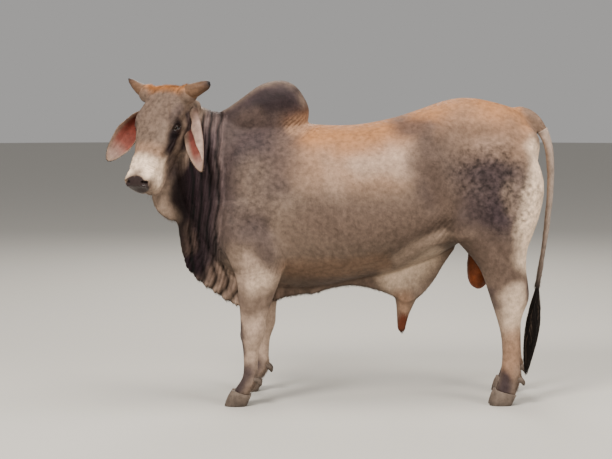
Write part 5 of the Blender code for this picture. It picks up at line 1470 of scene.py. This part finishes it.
def make_fringes(values, material):
    chance = np.random.default_rng(FRINGE_SEED)
    places, normals, colours, mottle, _ = values
    for name, (weight, ways) in fringe_weights(places, normals).items():
        count, length, width, lift = FRINGES[name]
        corners, shares = scatter(hide.data, weight, count, chance)
        roots, out = carried(places, corners, shares), unit(carried(normals, corners, shares))
        run = laid(carried(ways, corners, shares) + chance.normal(0, 0.16, (count, 3)), out)
        size = chance.uniform(0.55, 1.35, count)
        bend = np.outer(length * size * 0.20, (0, 0, -1)) + chance.normal(0, 0.10 * length, (count, 3))
        mottling = carried(mottle[:, None], corners, shares)[:, 0]
        looks = (varied(carried(colours, corners, shares), chance, 0.22), mottling)
        sizes = np.outer((length, width, lift), size)
        piece = hair(name, roots, out, run, sizes, looks, atlas(roots), 3, bend)
        piece.data.materials.append(material)
        set_down(piece, "hide")


make_fringes(hide_values(), coat_material)
# All hair on the hide is sown by now, so the hide can leave the bull's own frame.
set_down(hide, "hide", *REPLACED)


# The eyes: wet dark balls with a bulging cornea, brown iris and level pupil, set behind the lids. A thin
# dark rim follows each pair of lids, with lashes along the upper one.
LASHES = 44
# From the middle of the eyeball's front to its back.
IRIS_COLOURS = [
    (0.0, (0.016, 0.008, 0.004)),
    (0.50, (0.011, 0.006, 0.003)),
    (0.66, (0.004, 0.003, 0.003)),
    (0.74, (0.022, 0.013, 0.010)),
    (1.0, (0.030, 0.016, 0.012)),
]


def eye_material():
    """A wet eye: a level dark pupil in a ringed iris, painted by the place on the ball."""
    material, tree, shader = new_material("eye")
    parts = tree.nodes.new("ShaderNodeSeparateXYZ")
    tree.links.new(attribute_node(tree, "eye_place").outputs["Vector"], parts.inputs[0])
    along, across = parts.outputs[0], parts.outputs[1]
    squares = [math_node(tree, "MULTIPLY", value, value) for value in (along, across)]
    iris = math_node(tree, "SQRT", math_node(tree, "ADD", *squares), 0)
    narrow = math_node(tree, "MULTIPLY", along, 0.55)
    squares[0] = math_node(tree, "MULTIPLY", narrow, narrow)
    pupil = math_node(tree, "SQRT", math_node(tree, "ADD", *squares), 0)
    colours = tree.nodes.new("ShaderNodeValToRGB")
    stops = colours.color_ramp.elements
    for place, colour in IRIS_COLOURS[1:-1]:
        stops.new(place).color = (*colour, 1)
    stops[0].color = (*IRIS_COLOURS[0][1], 1)
    stops[-1].color = (*IRIS_COLOURS[-1][1], 1)
    tree.links.new(iris, colours.inputs["Fac"])
    hole = tree.nodes.new("ShaderNodeMapRange")
    hole.interpolation_type = "SMOOTHSTEP"
    hole.inputs["From Min"].default_value = 0.17
    hole.inputs["From Max"].default_value = 0.23
    tree.links.new(pupil, hole.inputs["Value"])
    dark = tree.nodes.new("ShaderNodeMix")
    dark.data_type = "RGBA"
    dark.inputs[6].default_value = (0.003, 0.003, 0.004, 1)
    tree.links.new(hole.outputs[0], dark.inputs[0])
    tree.links.new(colours.outputs["Color"], dark.inputs[7])
    tree.links.new(dark.outputs[2], shader.inputs["Base Color"])
    shader.inputs["Roughness"].default_value = 0.10
    shader.inputs["Specular IOR Level"].default_value = 0.18
    return material


def make_eye(word, material):
    middle, run, brow, out = eye_axes(HEAD_SIDES[word])
    bm = bmesh.new()
    bmesh.ops.create_uvsphere(bm, u_segments=56, v_segments=40, radius=1)
    local = np.array([v.co for v in bm.verts])
    bulge = 1 + 0.055 * ramp(local[:, 2], 0.76, 0.93)
    turned = Matrix((run, brow, out)).transposed()
    for vert, grow in zip(bm.verts, bulge):
        vert.co = HEAD @ (middle + turned @ (vert.co * (EYE_RADIUS * grow)))
    bmesh.ops.recalc_face_normals(bm, faces=bm.faces)
    eye = put("eyeball_" + word, bm)
    set_attribute(eye.data, "eye_place", "FLOAT_VECTOR", local)
    eye.data.materials.append(material)
    eye.data.shade_smooth()
    set_down(eye, "eyes", "eye_" + word)


def lid_edge(word, count):
    """Points along the edges of the lids with the way out of the eye there, in the bull's own frame."""
    middle, run, brow, out = eye_axes(HEAD_SIDES[word])
    points = []
    for turn in 2 * math.pi * np.arange(count) / count:
        a = LID_HALF * math.cos(turn)
        high = LID_HIGH if math.sin(turn) > 0 else -LID_LOW
        b = high * math.sin(turn) ** 2
        c = math.sqrt(max((EYE_RADIUS + 0.0012) ** 2 - a * a - b * b, 0.0100**2))
        points.append(HEAD @ (middle + run * a + brow * b + out * c))
    return points


def make_lid_rim(word, material):
    points = lid_edge(word, 72)
    _, _, _, out = eye_axes(HEAD_SIDES[word])
    out = HEAD.to_3x3() @ out
    centre = sum(points, Vector()) / len(points)
    bm = bmesh.new()
    loops = []
    for number, point in enumerate(points):
        run = (points[(number + 1) % 72] - points[number - 1]).normalized()
        side = run.cross(out).normalized()
        if side.dot(point - centre) < 0:
            side.negate()
        ring = []
        for turn in 2 * math.pi * np.arange(10) / 10:
            ring.append(bm.verts.new(point + side * 0.0021 * math.cos(turn) + out * 0.0017 * math.sin(turn)))
        loops.append(ring)
    for number, ring in enumerate(loops):
        after = loops[(number + 1) % 72]
        for i in range(10):
            bm.faces.new((ring[i], ring[(i + 1) % 10], after[(i + 1) % 10], after[i]))
    bmesh.ops.recalc_face_normals(bm, faces=bm.faces)
    rim = put("lid_rim_" + word, bm)
    rim.data.materials.append(material)
    rim.data.shade_smooth()
    set_down(rim, "dark_hide")


def make_lashes(word, material):
    chance = np.random.default_rng(61)
    _, run, brow, out = (HEAD.to_3x3() @ v for v in eye_axes(HEAD_SIDES[word]))
    edge = np.array(lid_edge(word, 2 * LASHES + 8))[3 : 3 + LASHES]
    count = len(edge)
    shares = np.linspace(-1, 1, count)
    fan = np.outer(-shares * 0.55, np.array(run))
    ways = unit(np.array(out) * 0.9 + np.array(brow) * 0.25 + fan + chance.normal(0, 0.10, (count, 3)))
    normals = unit(np.cross(ways, np.tile(np.array(run), (count, 1))))
    length = chance.uniform(0.012, 0.018, count) * (1 - 0.35 * abs(shares))
    bend = np.outer(length * 0.45, np.array(brow)) - np.array([0, 0, 0.002])
    dark = (np.tile((0.012, 0.009, 0.008), (count, 1)), np.zeros(count))
    sizes = (length, np.full(count, 0.0009), np.zeros(count))
    lashes = hair("lashes_" + word, edge, normals, ways, sizes, dark, np.full((count, 2), 0.5), 5, bend)
    lashes.data.materials.append(material)
    set_down(lashes, "dark_hide")


def plain_material(name, colour, roughness):
    """Bare skin of one colour, with the coat's uneven tone."""
    material, tree, shader = new_material(name)
    tone = tree.nodes.new("ShaderNodeGroup")
    tone.node_tree = TONE
    tone.inputs["Colour"].default_value = (*colour, 1)
    tone.inputs["Mottle"].default_value = 0.2
    tree.links.new(tone.outputs["Colour"], shader.inputs["Base Color"])
    shader.inputs["Roughness"].default_value = roughness
    return material


eye_look = eye_material()
rim_look = plain_material("lid_rim", (0.020, 0.013, 0.012), 0.30)
for word in HEAD_SIDES:
    make_eye(word, eye_look)
    make_lid_rim(word, rim_look)
    make_lashes(word, coat_material)


# The horns: short cones of horn with growth rings near the skull, brown at the root and dark at the tip.
# The left one is worn blunt, the right one still pointed.
HORN = {
    "left": [
        (0.006, 0.085, -0.050, 0.040),
        (-0.002, 0.128, -0.038, 0.039),
        (-0.012, 0.165, -0.031, 0.035),
        (-0.025, 0.203, -0.026, 0.029),
        (-0.036, 0.230, -0.023, 0.023),
        (-0.043, 0.244, -0.022, 0.014),
        (-0.044, 0.247, -0.022, 0.005),
    ],
    "right": [
        (0.006, 0.085, -0.050, 0.038),
        (-0.003, 0.128, -0.040, 0.036),
        (-0.016, 0.168, -0.033, 0.030),
        (-0.036, 0.208, -0.028, 0.023),
        (-0.056, 0.241, -0.024, 0.015),
        (-0.068, 0.259, -0.022, 0.007),
        (-0.070, 0.262, -0.022, 0.003),
    ],
}
HORN_COLOURS = [
    (0.0, (0.150, 0.085, 0.050)),
    (0.45, (0.125, 0.070, 0.042)),
    (0.70, (0.070, 0.040, 0.028)),
    (0.86, (0.026, 0.020, 0.020)),
    (1.0, (0.022, 0.019, 0.021)),
]


def fade(shares, stops):
    """Colours at these shares of the way along a list of stops."""
    at = [stop for stop, _ in stops]
    return np.stack([np.interp(shares, at, [colour[i] for _, colour in stops]) for i in range(3)], axis=1)


def horn_material():
    """Horn: growth streaks and flakes, with a dull polish."""
    material = hair_material("horn", 0.46, 0.0)
    tree = material.node_tree
    bump = tree.nodes.new("ShaderNodeBump")
    bump.inputs["Distance"].default_value = 0.0012
    bump.inputs["Strength"].default_value = 0.5
    tree.links.new(noise_node(tree, 120.0, 5.0), bump.inputs["Height"])
    tree.links.new(bump.outputs["Normal"], tree.nodes["Principled BSDF"].inputs["Normal"])
    return material


def share_along(places, around):
    """How far along a tube each of its places lies, with this many places to a ring."""
    return np.arange(len(places)) // around / (len(places) / around - 1)


def paint(piece, colours, mottle, material):
    """Colours a piece vertex by vertex, and gives it its material and a smooth surface."""
    set_attribute(piece.data, "coat_colour_and_shading", "FLOAT_COLOR", colours)
    set_attribute(piece.data, "mottle", "FLOAT", np.full(len(colours), mottle))
    piece.data.materials.append(material)
    piece.data.shade_smooth()


def make_horn(word, material):
    side = HEAD_SIDES[word]
    around, steps = 44, 12
    path = [(u, side * w, v) for u, w, v, r in HORN[word]]
    radii = [r for *_, r in HORN[word]]
    horn = tube("horn_sheath_" + word, path, radii, around=around, steps=steps, frame=HEAD)
    places, normals = places_of(horn)
    share = share_along(places, around)
    rings = 0.0011 * abs(np.sin(share * 38 + 0.8 * lumps(places, 0.05, 3))) * ramp(-share, -0.62, -0.30)
    uneven = 0.0010 * lumps(places, 0.016, 7) + 0.0004 * lumps(places, 0.005, 8)
    places += normals * (rings + uneven - 0.0012)[:, None] * (share < 0.99)[:, None]
    set_places(horn, places)
    streak = 1 + 0.22 * lumps(in_head(places) * (3, 0.5, 3), 0.018, 9)
    paint(horn, fade(share, HORN_COLOURS) * streak[:, None], 0.25, material)
    set_down(horn, "horns", "horn_" + word)


horn_look = horn_material()
for word in HEAD_SIDES:
    make_horn(word, horn_look)


# The ears: long cupped leaves of gristle and thin skin, rolled at the root, pink and nearly bare inside with
# low ridges, short-haired outside, and fringed along the rim.
EAR_LENGTH, EAR_WIDTH, EAR_THICKNESS = 0.370, 0.172, 0.0065
EAR_CURL, EAR_ROLL = math.radians(80), math.radians(190)
# Each ear's run from root to tip and the way its cup opens, in the bull's own frame.
EAR_RUN = {"left": Vector((0.11, -0.56, -0.81)), "right": Vector((-0.70, 0.04, -0.72))}
EAR_OPENS = {"left": Vector((-0.78, -0.62, 0.05)), "right": Vector((-0.30, -0.95, 0.10))}
# How far the rear edge of each ear is folded forward over its cup.
EAR_FOLD = {"left": math.radians(95), "right": math.radians(20)}
EAR_GRID = (56, 40)
EAR_INSIDE = [
    (0.0, (0.012, 0.006, 0.005)),
    (0.22, (0.040, 0.012, 0.008)),
    (0.45, (0.150, 0.030, 0.020)),
    (0.68, (0.215, 0.064, 0.048)),
    (0.86, (0.340, 0.215, 0.175)),
    (1.0, (0.300, 0.210, 0.170)),
]
EAR_OUTSIDE = [
    (0.0, (0.045, 0.026, 0.020)),
    (0.12, (0.110, 0.066, 0.050)),
    (0.30, (0.320, 0.215, 0.175)),
    (0.75, (0.350, 0.240, 0.195)),
    (1.0, (0.310, 0.212, 0.172)),
]


def ear_section(s, half, curl, fold):
    """Across one section of the ear: the shares, how far sideways and towards its opening, and the face's turn."""
    ts = np.linspace(-1, 1, EAR_GRID[1] + 1)
    bent = curl * ts / 2 - fold * ramp(-ts, 0.02 + 0.62 * s, 0.34 + 0.62 * s)
    steps = half * (ts[1] - ts[0])
    middle = (bent[1:] + bent[:-1]) / 2
    sideways = np.concatenate([[0], np.cumsum(np.cos(middle) * steps)])
    opening = np.concatenate([[0], np.cumsum(np.sin(middle) * steps)])
    centre = EAR_GRID[1] // 2
    return ts, sideways - sideways[centre], opening - opening[centre], bent


def ear_leaf(word):
    """Rows of points on the ear's inner and outer faces, from root to tip."""
    side = HEAD_SIDES[word]
    along, across = EAR_GRID
    run = EAR_RUN[word].normalized()
    opens = (EAR_OPENS[word] - run * EAR_OPENS[word].dot(run)).normalized()
    wide = run.cross(opens)
    root = HEAD @ (EAR_ROOT * Vector((1, side, 1)))
    faces = {}
    for layer, lift in (("inside", 0.5), ("outside", -0.5)):
        rows = []
        for s in np.linspace(0, 1, along + 1):
            leaf = max(math.sin(math.pi * s**0.85), 0) ** 0.65
            half = max(EAR_WIDTH / 2 * leaf, 0.030 * (1 - s) ** 3 + 0.005)
            curl = EAR_CURL + EAR_ROLL * (1 - s) ** 1.6
            fold = EAR_FOLD[word] * float(ramp(np.array(s), 0.06, 0.22) * ramp(np.array(-s), -0.99, -0.62))
            middle = root + run * (s * EAR_LENGTH) - opens * (0.10 * EAR_LENGTH * (s - s * s))
            row = []
            for t, sideways, opening, turn in zip(*ear_section(s, half, curl, fold)):
                out = wide * math.sin(turn) - opens * math.cos(turn)
                thick = EAR_THICKNESS * (1 - 0.45 * s) * (1 - 0.62 * t**4)
                veins = 0.0011 * math.cos(t * 15 + 2 * s) * math.sin(math.pi * s) * (1 - t * t)
                ripple = 0.0022 * math.sin(s * 21 + (2 if t > 0 else 0)) * abs(t) ** 3
                reach = ripple - lift * thick + (veins if layer == "inside" else 0)
                row.append(middle + wide * sideways + opens * opening + out * reach)
            rows.append(row)
        faces[layer] = rows
    return faces


def make_ear(word, material):
    along, across = EAR_GRID
    faces = ear_leaf(word)
    bm = bmesh.new()
    verts = {layer: [[bm.verts.new(p) for p in row] for row in rows] for layer, rows in faces.items()}
    for layer, rows in verts.items():
        for i in range(along):
            for j in range(across):
                bm.faces.new((rows[i][j], rows[i][j + 1], rows[i + 1][j + 1], rows[i + 1][j]))
    inside, outside = verts["inside"], verts["outside"]
    rim = [(i, 0) for i in range(along)] + [(along, j) for j in range(across)]
    rim += [(i, across) for i in range(along, 0, -1)] + [(0, j) for j in range(across, 0, -1)]
    for (i, j), (k, l) in zip(rim, rim[1:] + rim[:1]):
        bm.faces.new((inside[i][j], inside[k][l], outside[k][l], outside[i][j]))
    bmesh.ops.recalc_face_normals(bm, faces=bm.faces)
    ear = put("ear_skin_" + word, bm)
    s, t = np.meshgrid(np.linspace(0, 1, along + 1), np.linspace(-1, 1, across + 1), indexing="ij")
    s, t = s.ravel(), t.ravel()
    edge = np.maximum(ramp(abs(t), 0.62, 0.98), ramp(s, 0.90, 0.99))[:, None]
    inner = fade(s, EAR_INSIDE)
    inner += edge * (np.array((0.34, 0.23, 0.17)) - inner)
    outer = fade(s, EAR_OUTSIDE)
    outer += 0.6 * edge * (np.array((0.36, 0.25, 0.19)) - outer)
    colours = np.vstack([inner, outer])
    places, _ = places_of(ear)
    colours *= (1 + 0.16 * lumps(places, 0.022, 12) + 0.10 * lumps(places, 0.06, 13))[:, None]
    paint(ear, colours, 0.3, material)
    return ear, colours, np.tile(s, 2), np.tile(t, 2), np.tile(edge[:, 0], 2)


def hair_ear(word, ear, colours, s, t, edge, material):
    """Short hair over the outside of the ear and along its rim, and thin hair within."""
    chance = np.random.default_rng(71)
    places, normals = places_of(ear)
    half = len(places) // 2
    outside = np.repeat([0.0, 1.0], half)
    run = np.array(EAR_RUN[word].normalized())
    centre = places[:half].reshape(EAR_GRID[0] + 1, EAR_GRID[1] + 1, 3)[:, EAR_GRID[1] // 2]
    spread = unit(places - np.tile(np.repeat(centre, EAR_GRID[1] + 1, axis=0), (2, 1)))
    on_map = np.stack([0.02 + 0.46 * s, 0.50 + 0.48 * t], axis=1)
    inner = (1 - outside) * (s > 0.06) * (s < 0.8)
    found = []
    for weight, count, length, width, lift, steps in (
        (outside * (s > 0.03) + 0.12 * edge, 10000, 0.0085, 0.0011, 0.0007, 1),
        (edge * (s > 0.15), 1800, 0.0075, 0.0007, 0.0004, 2),
        (inner, 600, 0.0110, 0.0006, 0.0012, 2),
    ):
        corners, shares = scatter(ear.data, weight, count, chance)
        roots, out = carried(places, corners, shares), unit(carried(normals, corners, shares))
        outwards = carried(spread, corners, shares) * (0.15 + 0.35 * carried(edge[:, None], corners, shares))
        ways = laid(run + outwards + chance.normal(0, 0.10, (count, 3)), out)
        sizes = np.outer((length, width, lift), chance.uniform(0.7, 1.3, count))
        looks = (varied(carried(colours, corners, shares), chance, 0.15), np.full(count, 0.3))
        patch = carried(on_map, corners, shares) + outside[corners[:, :1]] * (0.5, 0.0)
        found.append(hair("ear hair", roots, out, ways, sizes, looks, patch, steps))
    coat = joined_hair("coat_ear_" + word, found)
    coat.data.materials.append(material)
    set_down(coat, "ears")


def joined_hair(name, pieces):
    """Several hair meshes as one piece that keeps their attributes and map."""
    with bpy.context.temp_override(active_object=pieces[0], selected_editable_objects=pieces):
        bpy.ops.object.join()
    pieces[0].name = name
    return pieces[0]


ear_look = hair_material("ear", 0.60, 0.35)
for word in HEAD_SIDES:
    ear, *values = make_ear(word, ear_look)
    hair_ear(word, ear, *values, coat_material)
    set_down(ear, "ears", "ear_" + word)


# The claws and dewclaws: dark horn shells with growth lines, two claws to a foot and two dewclaws behind
# it. They grow from the skin of the foot, which ends just inside the top of each claw.
DEWCLAW = [(-0.030, 0.132, 0.013), (0.000, 0.124, 0.013), (0.012, 0.110, 0.0104), (0.014, 0.098, 0.0046)]
DEWCLAW_SET = {"fore": 0.030, "hind": 0.020}
CLAW_COLOURS = [
    (0.0, (0.080, 0.062, 0.050)),
    (0.5, (0.130, 0.098, 0.078)),
    (0.92, (0.165, 0.125, 0.100)),
    (1.0, (0.200, 0.155, 0.125)),
]


def make_claw(leg, foot, word, which, apart, back, material):
    out, front, rear, top_front, top_rear = foot
    middle = LEG_SIDES[word] * (out + apart * CLAW_APART)
    around, levels = 44, [0.0, 0.02, 0.06, *np.linspace(0.10, 1.0, 19)]
    rings = []
    slope = (CORONET_REAR - CORONET_FRONT) / (top_rear - top_front)
    for share in levels:
        inset = 0.004 * max(1 - share / 0.06, 0) ** 2
        a = front + (top_front - front) * share + inset - 0.003 * math.sin(math.pi * share)
        b = rear + (top_rear - rear) * share - inset
        half = CLAW_HALF - 0.75 * inset - 0.001 * share
        across, length = egg(half, (b - a) / 2, (b - a) / 2, 2.3, 1.9, around)
        ring = []
        for w, run in zip(across, length):
            x = (a + b) / 2 + run
            level = CORONET_FRONT + slope * (x - top_front) - 0.0004
            toe_in = 0.004 * apart * LEG_SIDES[word] * max(-(run / (b - a) * 2), 0) ** 2 * (1 - 0.6 * share)
            ring.append(Vector((x + back, middle + w - toe_in, share * level)))
        rings.append(ring)
    claw = body_of(f"claw_horn_{leg}_{which}_{word}", rings)
    places, normals = places_of(claw)
    share = np.repeat(levels, around)
    side = ramp(share, 0.03, 0.10) * ramp(-share, -1.0, -0.96)
    lines = 0.0006 * np.sin(share * 62 + 1.2 * lumps(places, 0.03, 5)) + 0.0006 * lumps(places, 0.012, 6)
    places += normals * (lines * side - 0.0005 * side)[:, None]
    set_places(claw, places)
    streak = 1 + 0.25 * lumps(places * (1, 1, 0.15), 0.006, 14) + 0.15 * lumps(places, 0.02, 15)
    paint(claw, fade(share, CLAW_COLOURS) * streak[:, None], 0.3, material)
    claw.data.set_sharp_from_angle(angle=math.radians(50))
    set_down(claw, "claws", f"claw_{leg}_{which}_{word}")


def make_dewclaw(leg, foot, word, which, apart, back, material):
    y = LEG_SIDES[word] * (foot[0] + apart * CLAW_HALF)
    x = foot[4] + DEWCLAW_SET[leg] + back
    path = [(x + along, y, high) for along, high, _ in DEWCLAW]
    around = 28
    piece = tube(f"dewclaw_horn_{leg}_{which}_{word}", path, [r for *_, r in DEWCLAW], around=around, steps=7)
    places, normals = places_of(piece)
    share = share_along(places, around)
    lines = 0.0005 * np.sin(share * 40) + 0.0005 * lumps(places, 0.008, 16)
    places += normals * lines[:, None]
    set_places(piece, places)
    paint(piece, fade(1 - share, CLAW_COLOURS) * 0.8, 0.3, material)
    set_down(piece, "claws", f"dewclaw_{leg}_{which}_{word}")


claw_look = horn_material()
claw_look.name = "claw"
for word in LEG_SIDES:
    for leg, foot, stand in (("fore", FORE_FOOT, FORE_STAGGER), ("hind", HIND_FOOT, HIND_STAGGER)):
        back = stand if word == "right" else 0.0
        for which, apart in (("inner", -1), ("outer", 1)):
            make_claw(leg, foot, word, which, apart, back, claw_look)
            make_dewclaw(leg, foot, word, which, apart, back, claw_look)


# The tail: a round, short-haired tail that hangs from the rump, and its switch of long dark hair, whose
# locks fan out from the tail's end, bend with the tuft's outline and end in points.
TAIL_SPAN = (3.0, 9.6)
SWITCH = [
    (1.140, 0.600, 0.010),
    (1.136, 0.540, 0.020),
    (1.128, 0.460, 0.030),
    (1.118, 0.370, 0.038),
    (1.106, 0.280, 0.036),
    (1.094, 0.190, 0.026),
    (1.085, 0.110, 0.010),
]
SWITCH_LOCKS = 1500
TAIL_COLOURS = [
    (0.0, (0.40, 0.30, 0.24)),
    (0.5, (0.37, 0.29, 0.24)),
    (0.85, (0.25, 0.19, 0.155)),
    (1.0, (0.05, 0.04, 0.035)),
]


def make_tail(material):
    rows = smooth_rows(TAIL, 8)[round(TAIL_SPAN[0] * 8) : round(TAIL_SPAN[1] * 8) + 1]
    around = 32
    radii = [max(r - 0.001, 0.004) for *_, r in rows]
    tail = tube("tail_skin", [(x, 0, z) for x, z, r in rows], radii, around=around, steps=2)
    places, normals = places_of(tail)
    share = share_along(places, around)
    rings = 0.0010 * ridges(share + 0.004 * lumps(places, 0.03, 17), 0.020) * ramp(-share, -0.75, -0.2)
    places += normals * (rings + 0.0012 * lumps(places, 0.03, 18))[:, None]
    set_places(tail, places)
    colours = fade(share, TAIL_COLOURS) * (1 + 0.15 * lumps(places, 0.06, 19))[:, None]
    paint(tail, colours, 0.3, material)
    return tail, share, colours


def hair_tail(tail, share, colours, material):
    chance = np.random.default_rng(81)
    places, normals = places_of(tail)
    count = 9000
    weight = 0.4 + share
    corners, shares = scatter(tail.data, weight, count, chance)
    roots, out = carried(places, corners, shares), unit(carried(normals, corners, shares))
    along = carried(share[:, None], corners, shares)[:, 0]
    down = np.tile((-0.15, 0.0, -1.0), (count, 1))
    down -= out * (down * out).sum(axis=1)[:, None]
    ways = unit(down + chance.normal(0, 0.10, (count, 3)))
    size = chance.uniform(0.7, 1.3, count) * (0.7 + 1.3 * ramp(along, 0.70, 1.0))
    looks = (varied(carried(colours, corners, shares), chance, 0.15), np.full(count, 0.3))
    turn = np.arctan2(out[:, 1], out[:, 0]) / (2 * math.pi) + 0.5
    patch = np.stack([0.02 + 0.95 * along, 0.02 + 0.95 * turn], axis=1)
    sizes = np.outer((0.014, 0.0015, 0.0018), size)
    coat = hair("coat_tail", roots, out, ways, sizes, looks, patch, 2)
    coat.data.materials.append(material)
    set_down(coat, "hide")


def make_switch(material):
    """Locks of long hair, each bent along the outline of the whole tuft."""
    chance = np.random.default_rng(91)
    xs, heights, halves = np.array(SWITCH).T
    count, steps = SWITCH_LOCKS, 9
    depth = (np.arange(count) + chance.random(count)) / count
    top = 0.600 - 0.17 * depth
    low = 0.108 + 0.20 * chance.random(count) ** 1.4
    bearing = chance.uniform(0, 2 * math.pi, count)
    sway = chance.normal(0, 0.35, count)
    reach = 0.98 * np.sqrt(chance.random(count))
    shares = np.linspace(0, 1, steps + 1)
    spots = np.empty((count, steps * 3 + 1, 3))
    width = chance.uniform(0.0028, 0.0052, count)
    for number, share in enumerate(shares):
        z = top + (low - top) * share
        turn = bearing + sway * share + 0.25 * np.sin(share * 9 + bearing * 3)
        out = np.stack([np.cos(turn), np.sin(turn), 0 * turn], axis=1)
        side = np.stack([-out[:, 1], out[:, 0], 0 * turn], axis=1)
        half = np.interp(-z, -heights, halves)
        away = np.maximum(half * reach * min(share * 2.2 + 0.15, 1), 0.006 * (1 - share))
        away *= 1 - 0.25 * share**3
        middle = np.stack([np.interp(-z, -heights, xs), 0 * z, z], axis=1) + out * away[:, None]
        taper = (width / 2 * (1 - share) ** 0.6 * min(0.4 + share * 4, 1))[:, None]
        if number < steps:
            spots[:, number * 3] = middle - side * taper
            spots[:, number * 3 + 1] = middle + side * taper
            spots[:, number * 3 + 2] = middle + out * taper * 0.6
        else:
            spots[:, -1] = middle
    shade = chance.uniform(0.7, 1.5, count)[:, None] * np.array((0.012, 0.009, 0.008))
    brown = chance.random(count) < 0.12
    shade[brown] = (0.085, 0.060, 0.045)
    patch = np.stack([0.02 + 0.95 * bearing / (2 * math.pi), 0.02 + 0.9 * depth], axis=1)
    piece = slivers("switch_hair", spots, (shade, np.full(count, 0.2)), patch)
    piece.data.shade_flat()
    piece.data.materials.append(material)
    set_down(piece, "switch_hair", "tail_switch")


tail_look = hair_material("tail", 0.62, 0.4)
tail, share, colours = make_tail(tail_look)
hair_tail(tail, share, colours, coat_material)
set_down(tail, "hide", "tail")
make_switch(coat_material)


# The scrotum: a hanging pouch of thin, nearly bare orange-brown skin between the hind legs, wrinkled across,
# with a seam down its middle.
SCROTUM = [
    (0.850, 0.800, 0.905, 0.045),
    (0.780, 0.803, 0.893, 0.040),
    (0.720, 0.795, 0.897, 0.050),
    (0.650, 0.788, 0.902, 0.060),
    (0.585, 0.795, 0.894, 0.056),
    (0.555, 0.812, 0.876, 0.040),
    (0.543, 0.830, 0.858, 0.018),
]


def make_scrotum():
    rows = [(z, front, rear, 0, half) for z, front, rear, half in SCROTUM]
    piece = level_loft("scrotum_skin", rows, 14, 64, 2.0)
    places, normals = places_of(piece)
    _, y, z = places.T
    offset = -0.006 * np.exp(-((y / 0.007) ** 2)) * ramp(-z, -0.76, -0.66)
    offset += 0.0014 * ridges(z + 0.006 * lumps(places, 0.03, 51), 0.011) * ramp(z, 0.56, 0.60)
    offset += 0.0016 * lumps(places, 0.022, 52) - 0.0015
    places += normals * offset[:, None]
    set_places(piece, places)
    share = ramp(z, 0.58, 0.80)[:, None]
    colours = np.array((0.118, 0.029, 0.008)) * (1 - share) + np.array((0.085, 0.026, 0.010)) * share
    colours = colours * (1 + 0.25 * lumps(places, 0.03, 53) - 0.35 * np.exp(-((y / 0.006) ** 2)))[:, None]
    paint(piece, colours, 0.4, hair_material("scrotum", 0.50, 0.25))
    set_down(piece, "scrotum_skin", "scrotum")


make_scrotum()


# The studio: a plain pale floor, four large round lamps and an even sky, none of it part of the bull.
# The lamps stand to the left, above, in front of and behind it, so that every side has soft light.
FLOOR_COLOUR, SKY_COLOUR = (0.52, 0.50, 0.46), (0.97, 0.95, 0.93)
LAMP_COLOUR = (1.0, 0.95, 0.88)


def make_floor():
    bm = bmesh.new()
    bmesh.ops.create_circle(bm, cap_ends=True, segments=96, radius=40)
    floor = put("floor", bm)
    material, _, shader = new_material("floor")
    shader.inputs["Base Color"].default_value = (*FLOOR_COLOUR, 1)
    shader.inputs["Roughness"].default_value = 0.9
    floor.data.materials.append(material)


def make_lamp(name, place, target, size, power):
    data = bpy.data.lights.new(name, "AREA")
    data.shape = "DISK"
    data.size = size
    data.energy = power
    data.color = LAMP_COLOUR
    lamp = bpy.data.objects.new(name, data)
    lamp.location = place
    lamp.rotation_euler = (Vector(target) - Vector(place)).to_track_quat("-Z", "Y").to_euler()
    bpy.context.scene.collection.objects.link(lamp)


make_floor()
make_lamp("key", (-3.5, -5.0, 6.0), (0, 0, 0.9), 2.6, 760)
make_lamp("top", (1.0, -0.5, 6.0), (0, 0, 1.0), 3.5, 300)
make_lamp("fill", (5.0, -4.0, 3.5), (0, 0, 0.9), 3.0, 260)
make_lamp("back", (0.0, 6.0, 5.0), (0, 0, 1.0), 3.5, 260)
world = bpy.data.worlds.new("studio")
world.use_nodes = True
world.node_tree.nodes["Background"].inputs["Color"].default_value = (*SKY_COLOUR, 1)
world.node_tree.nodes["Background"].inputs["Strength"].default_value = 0.40
bpy.context.scene.world = world
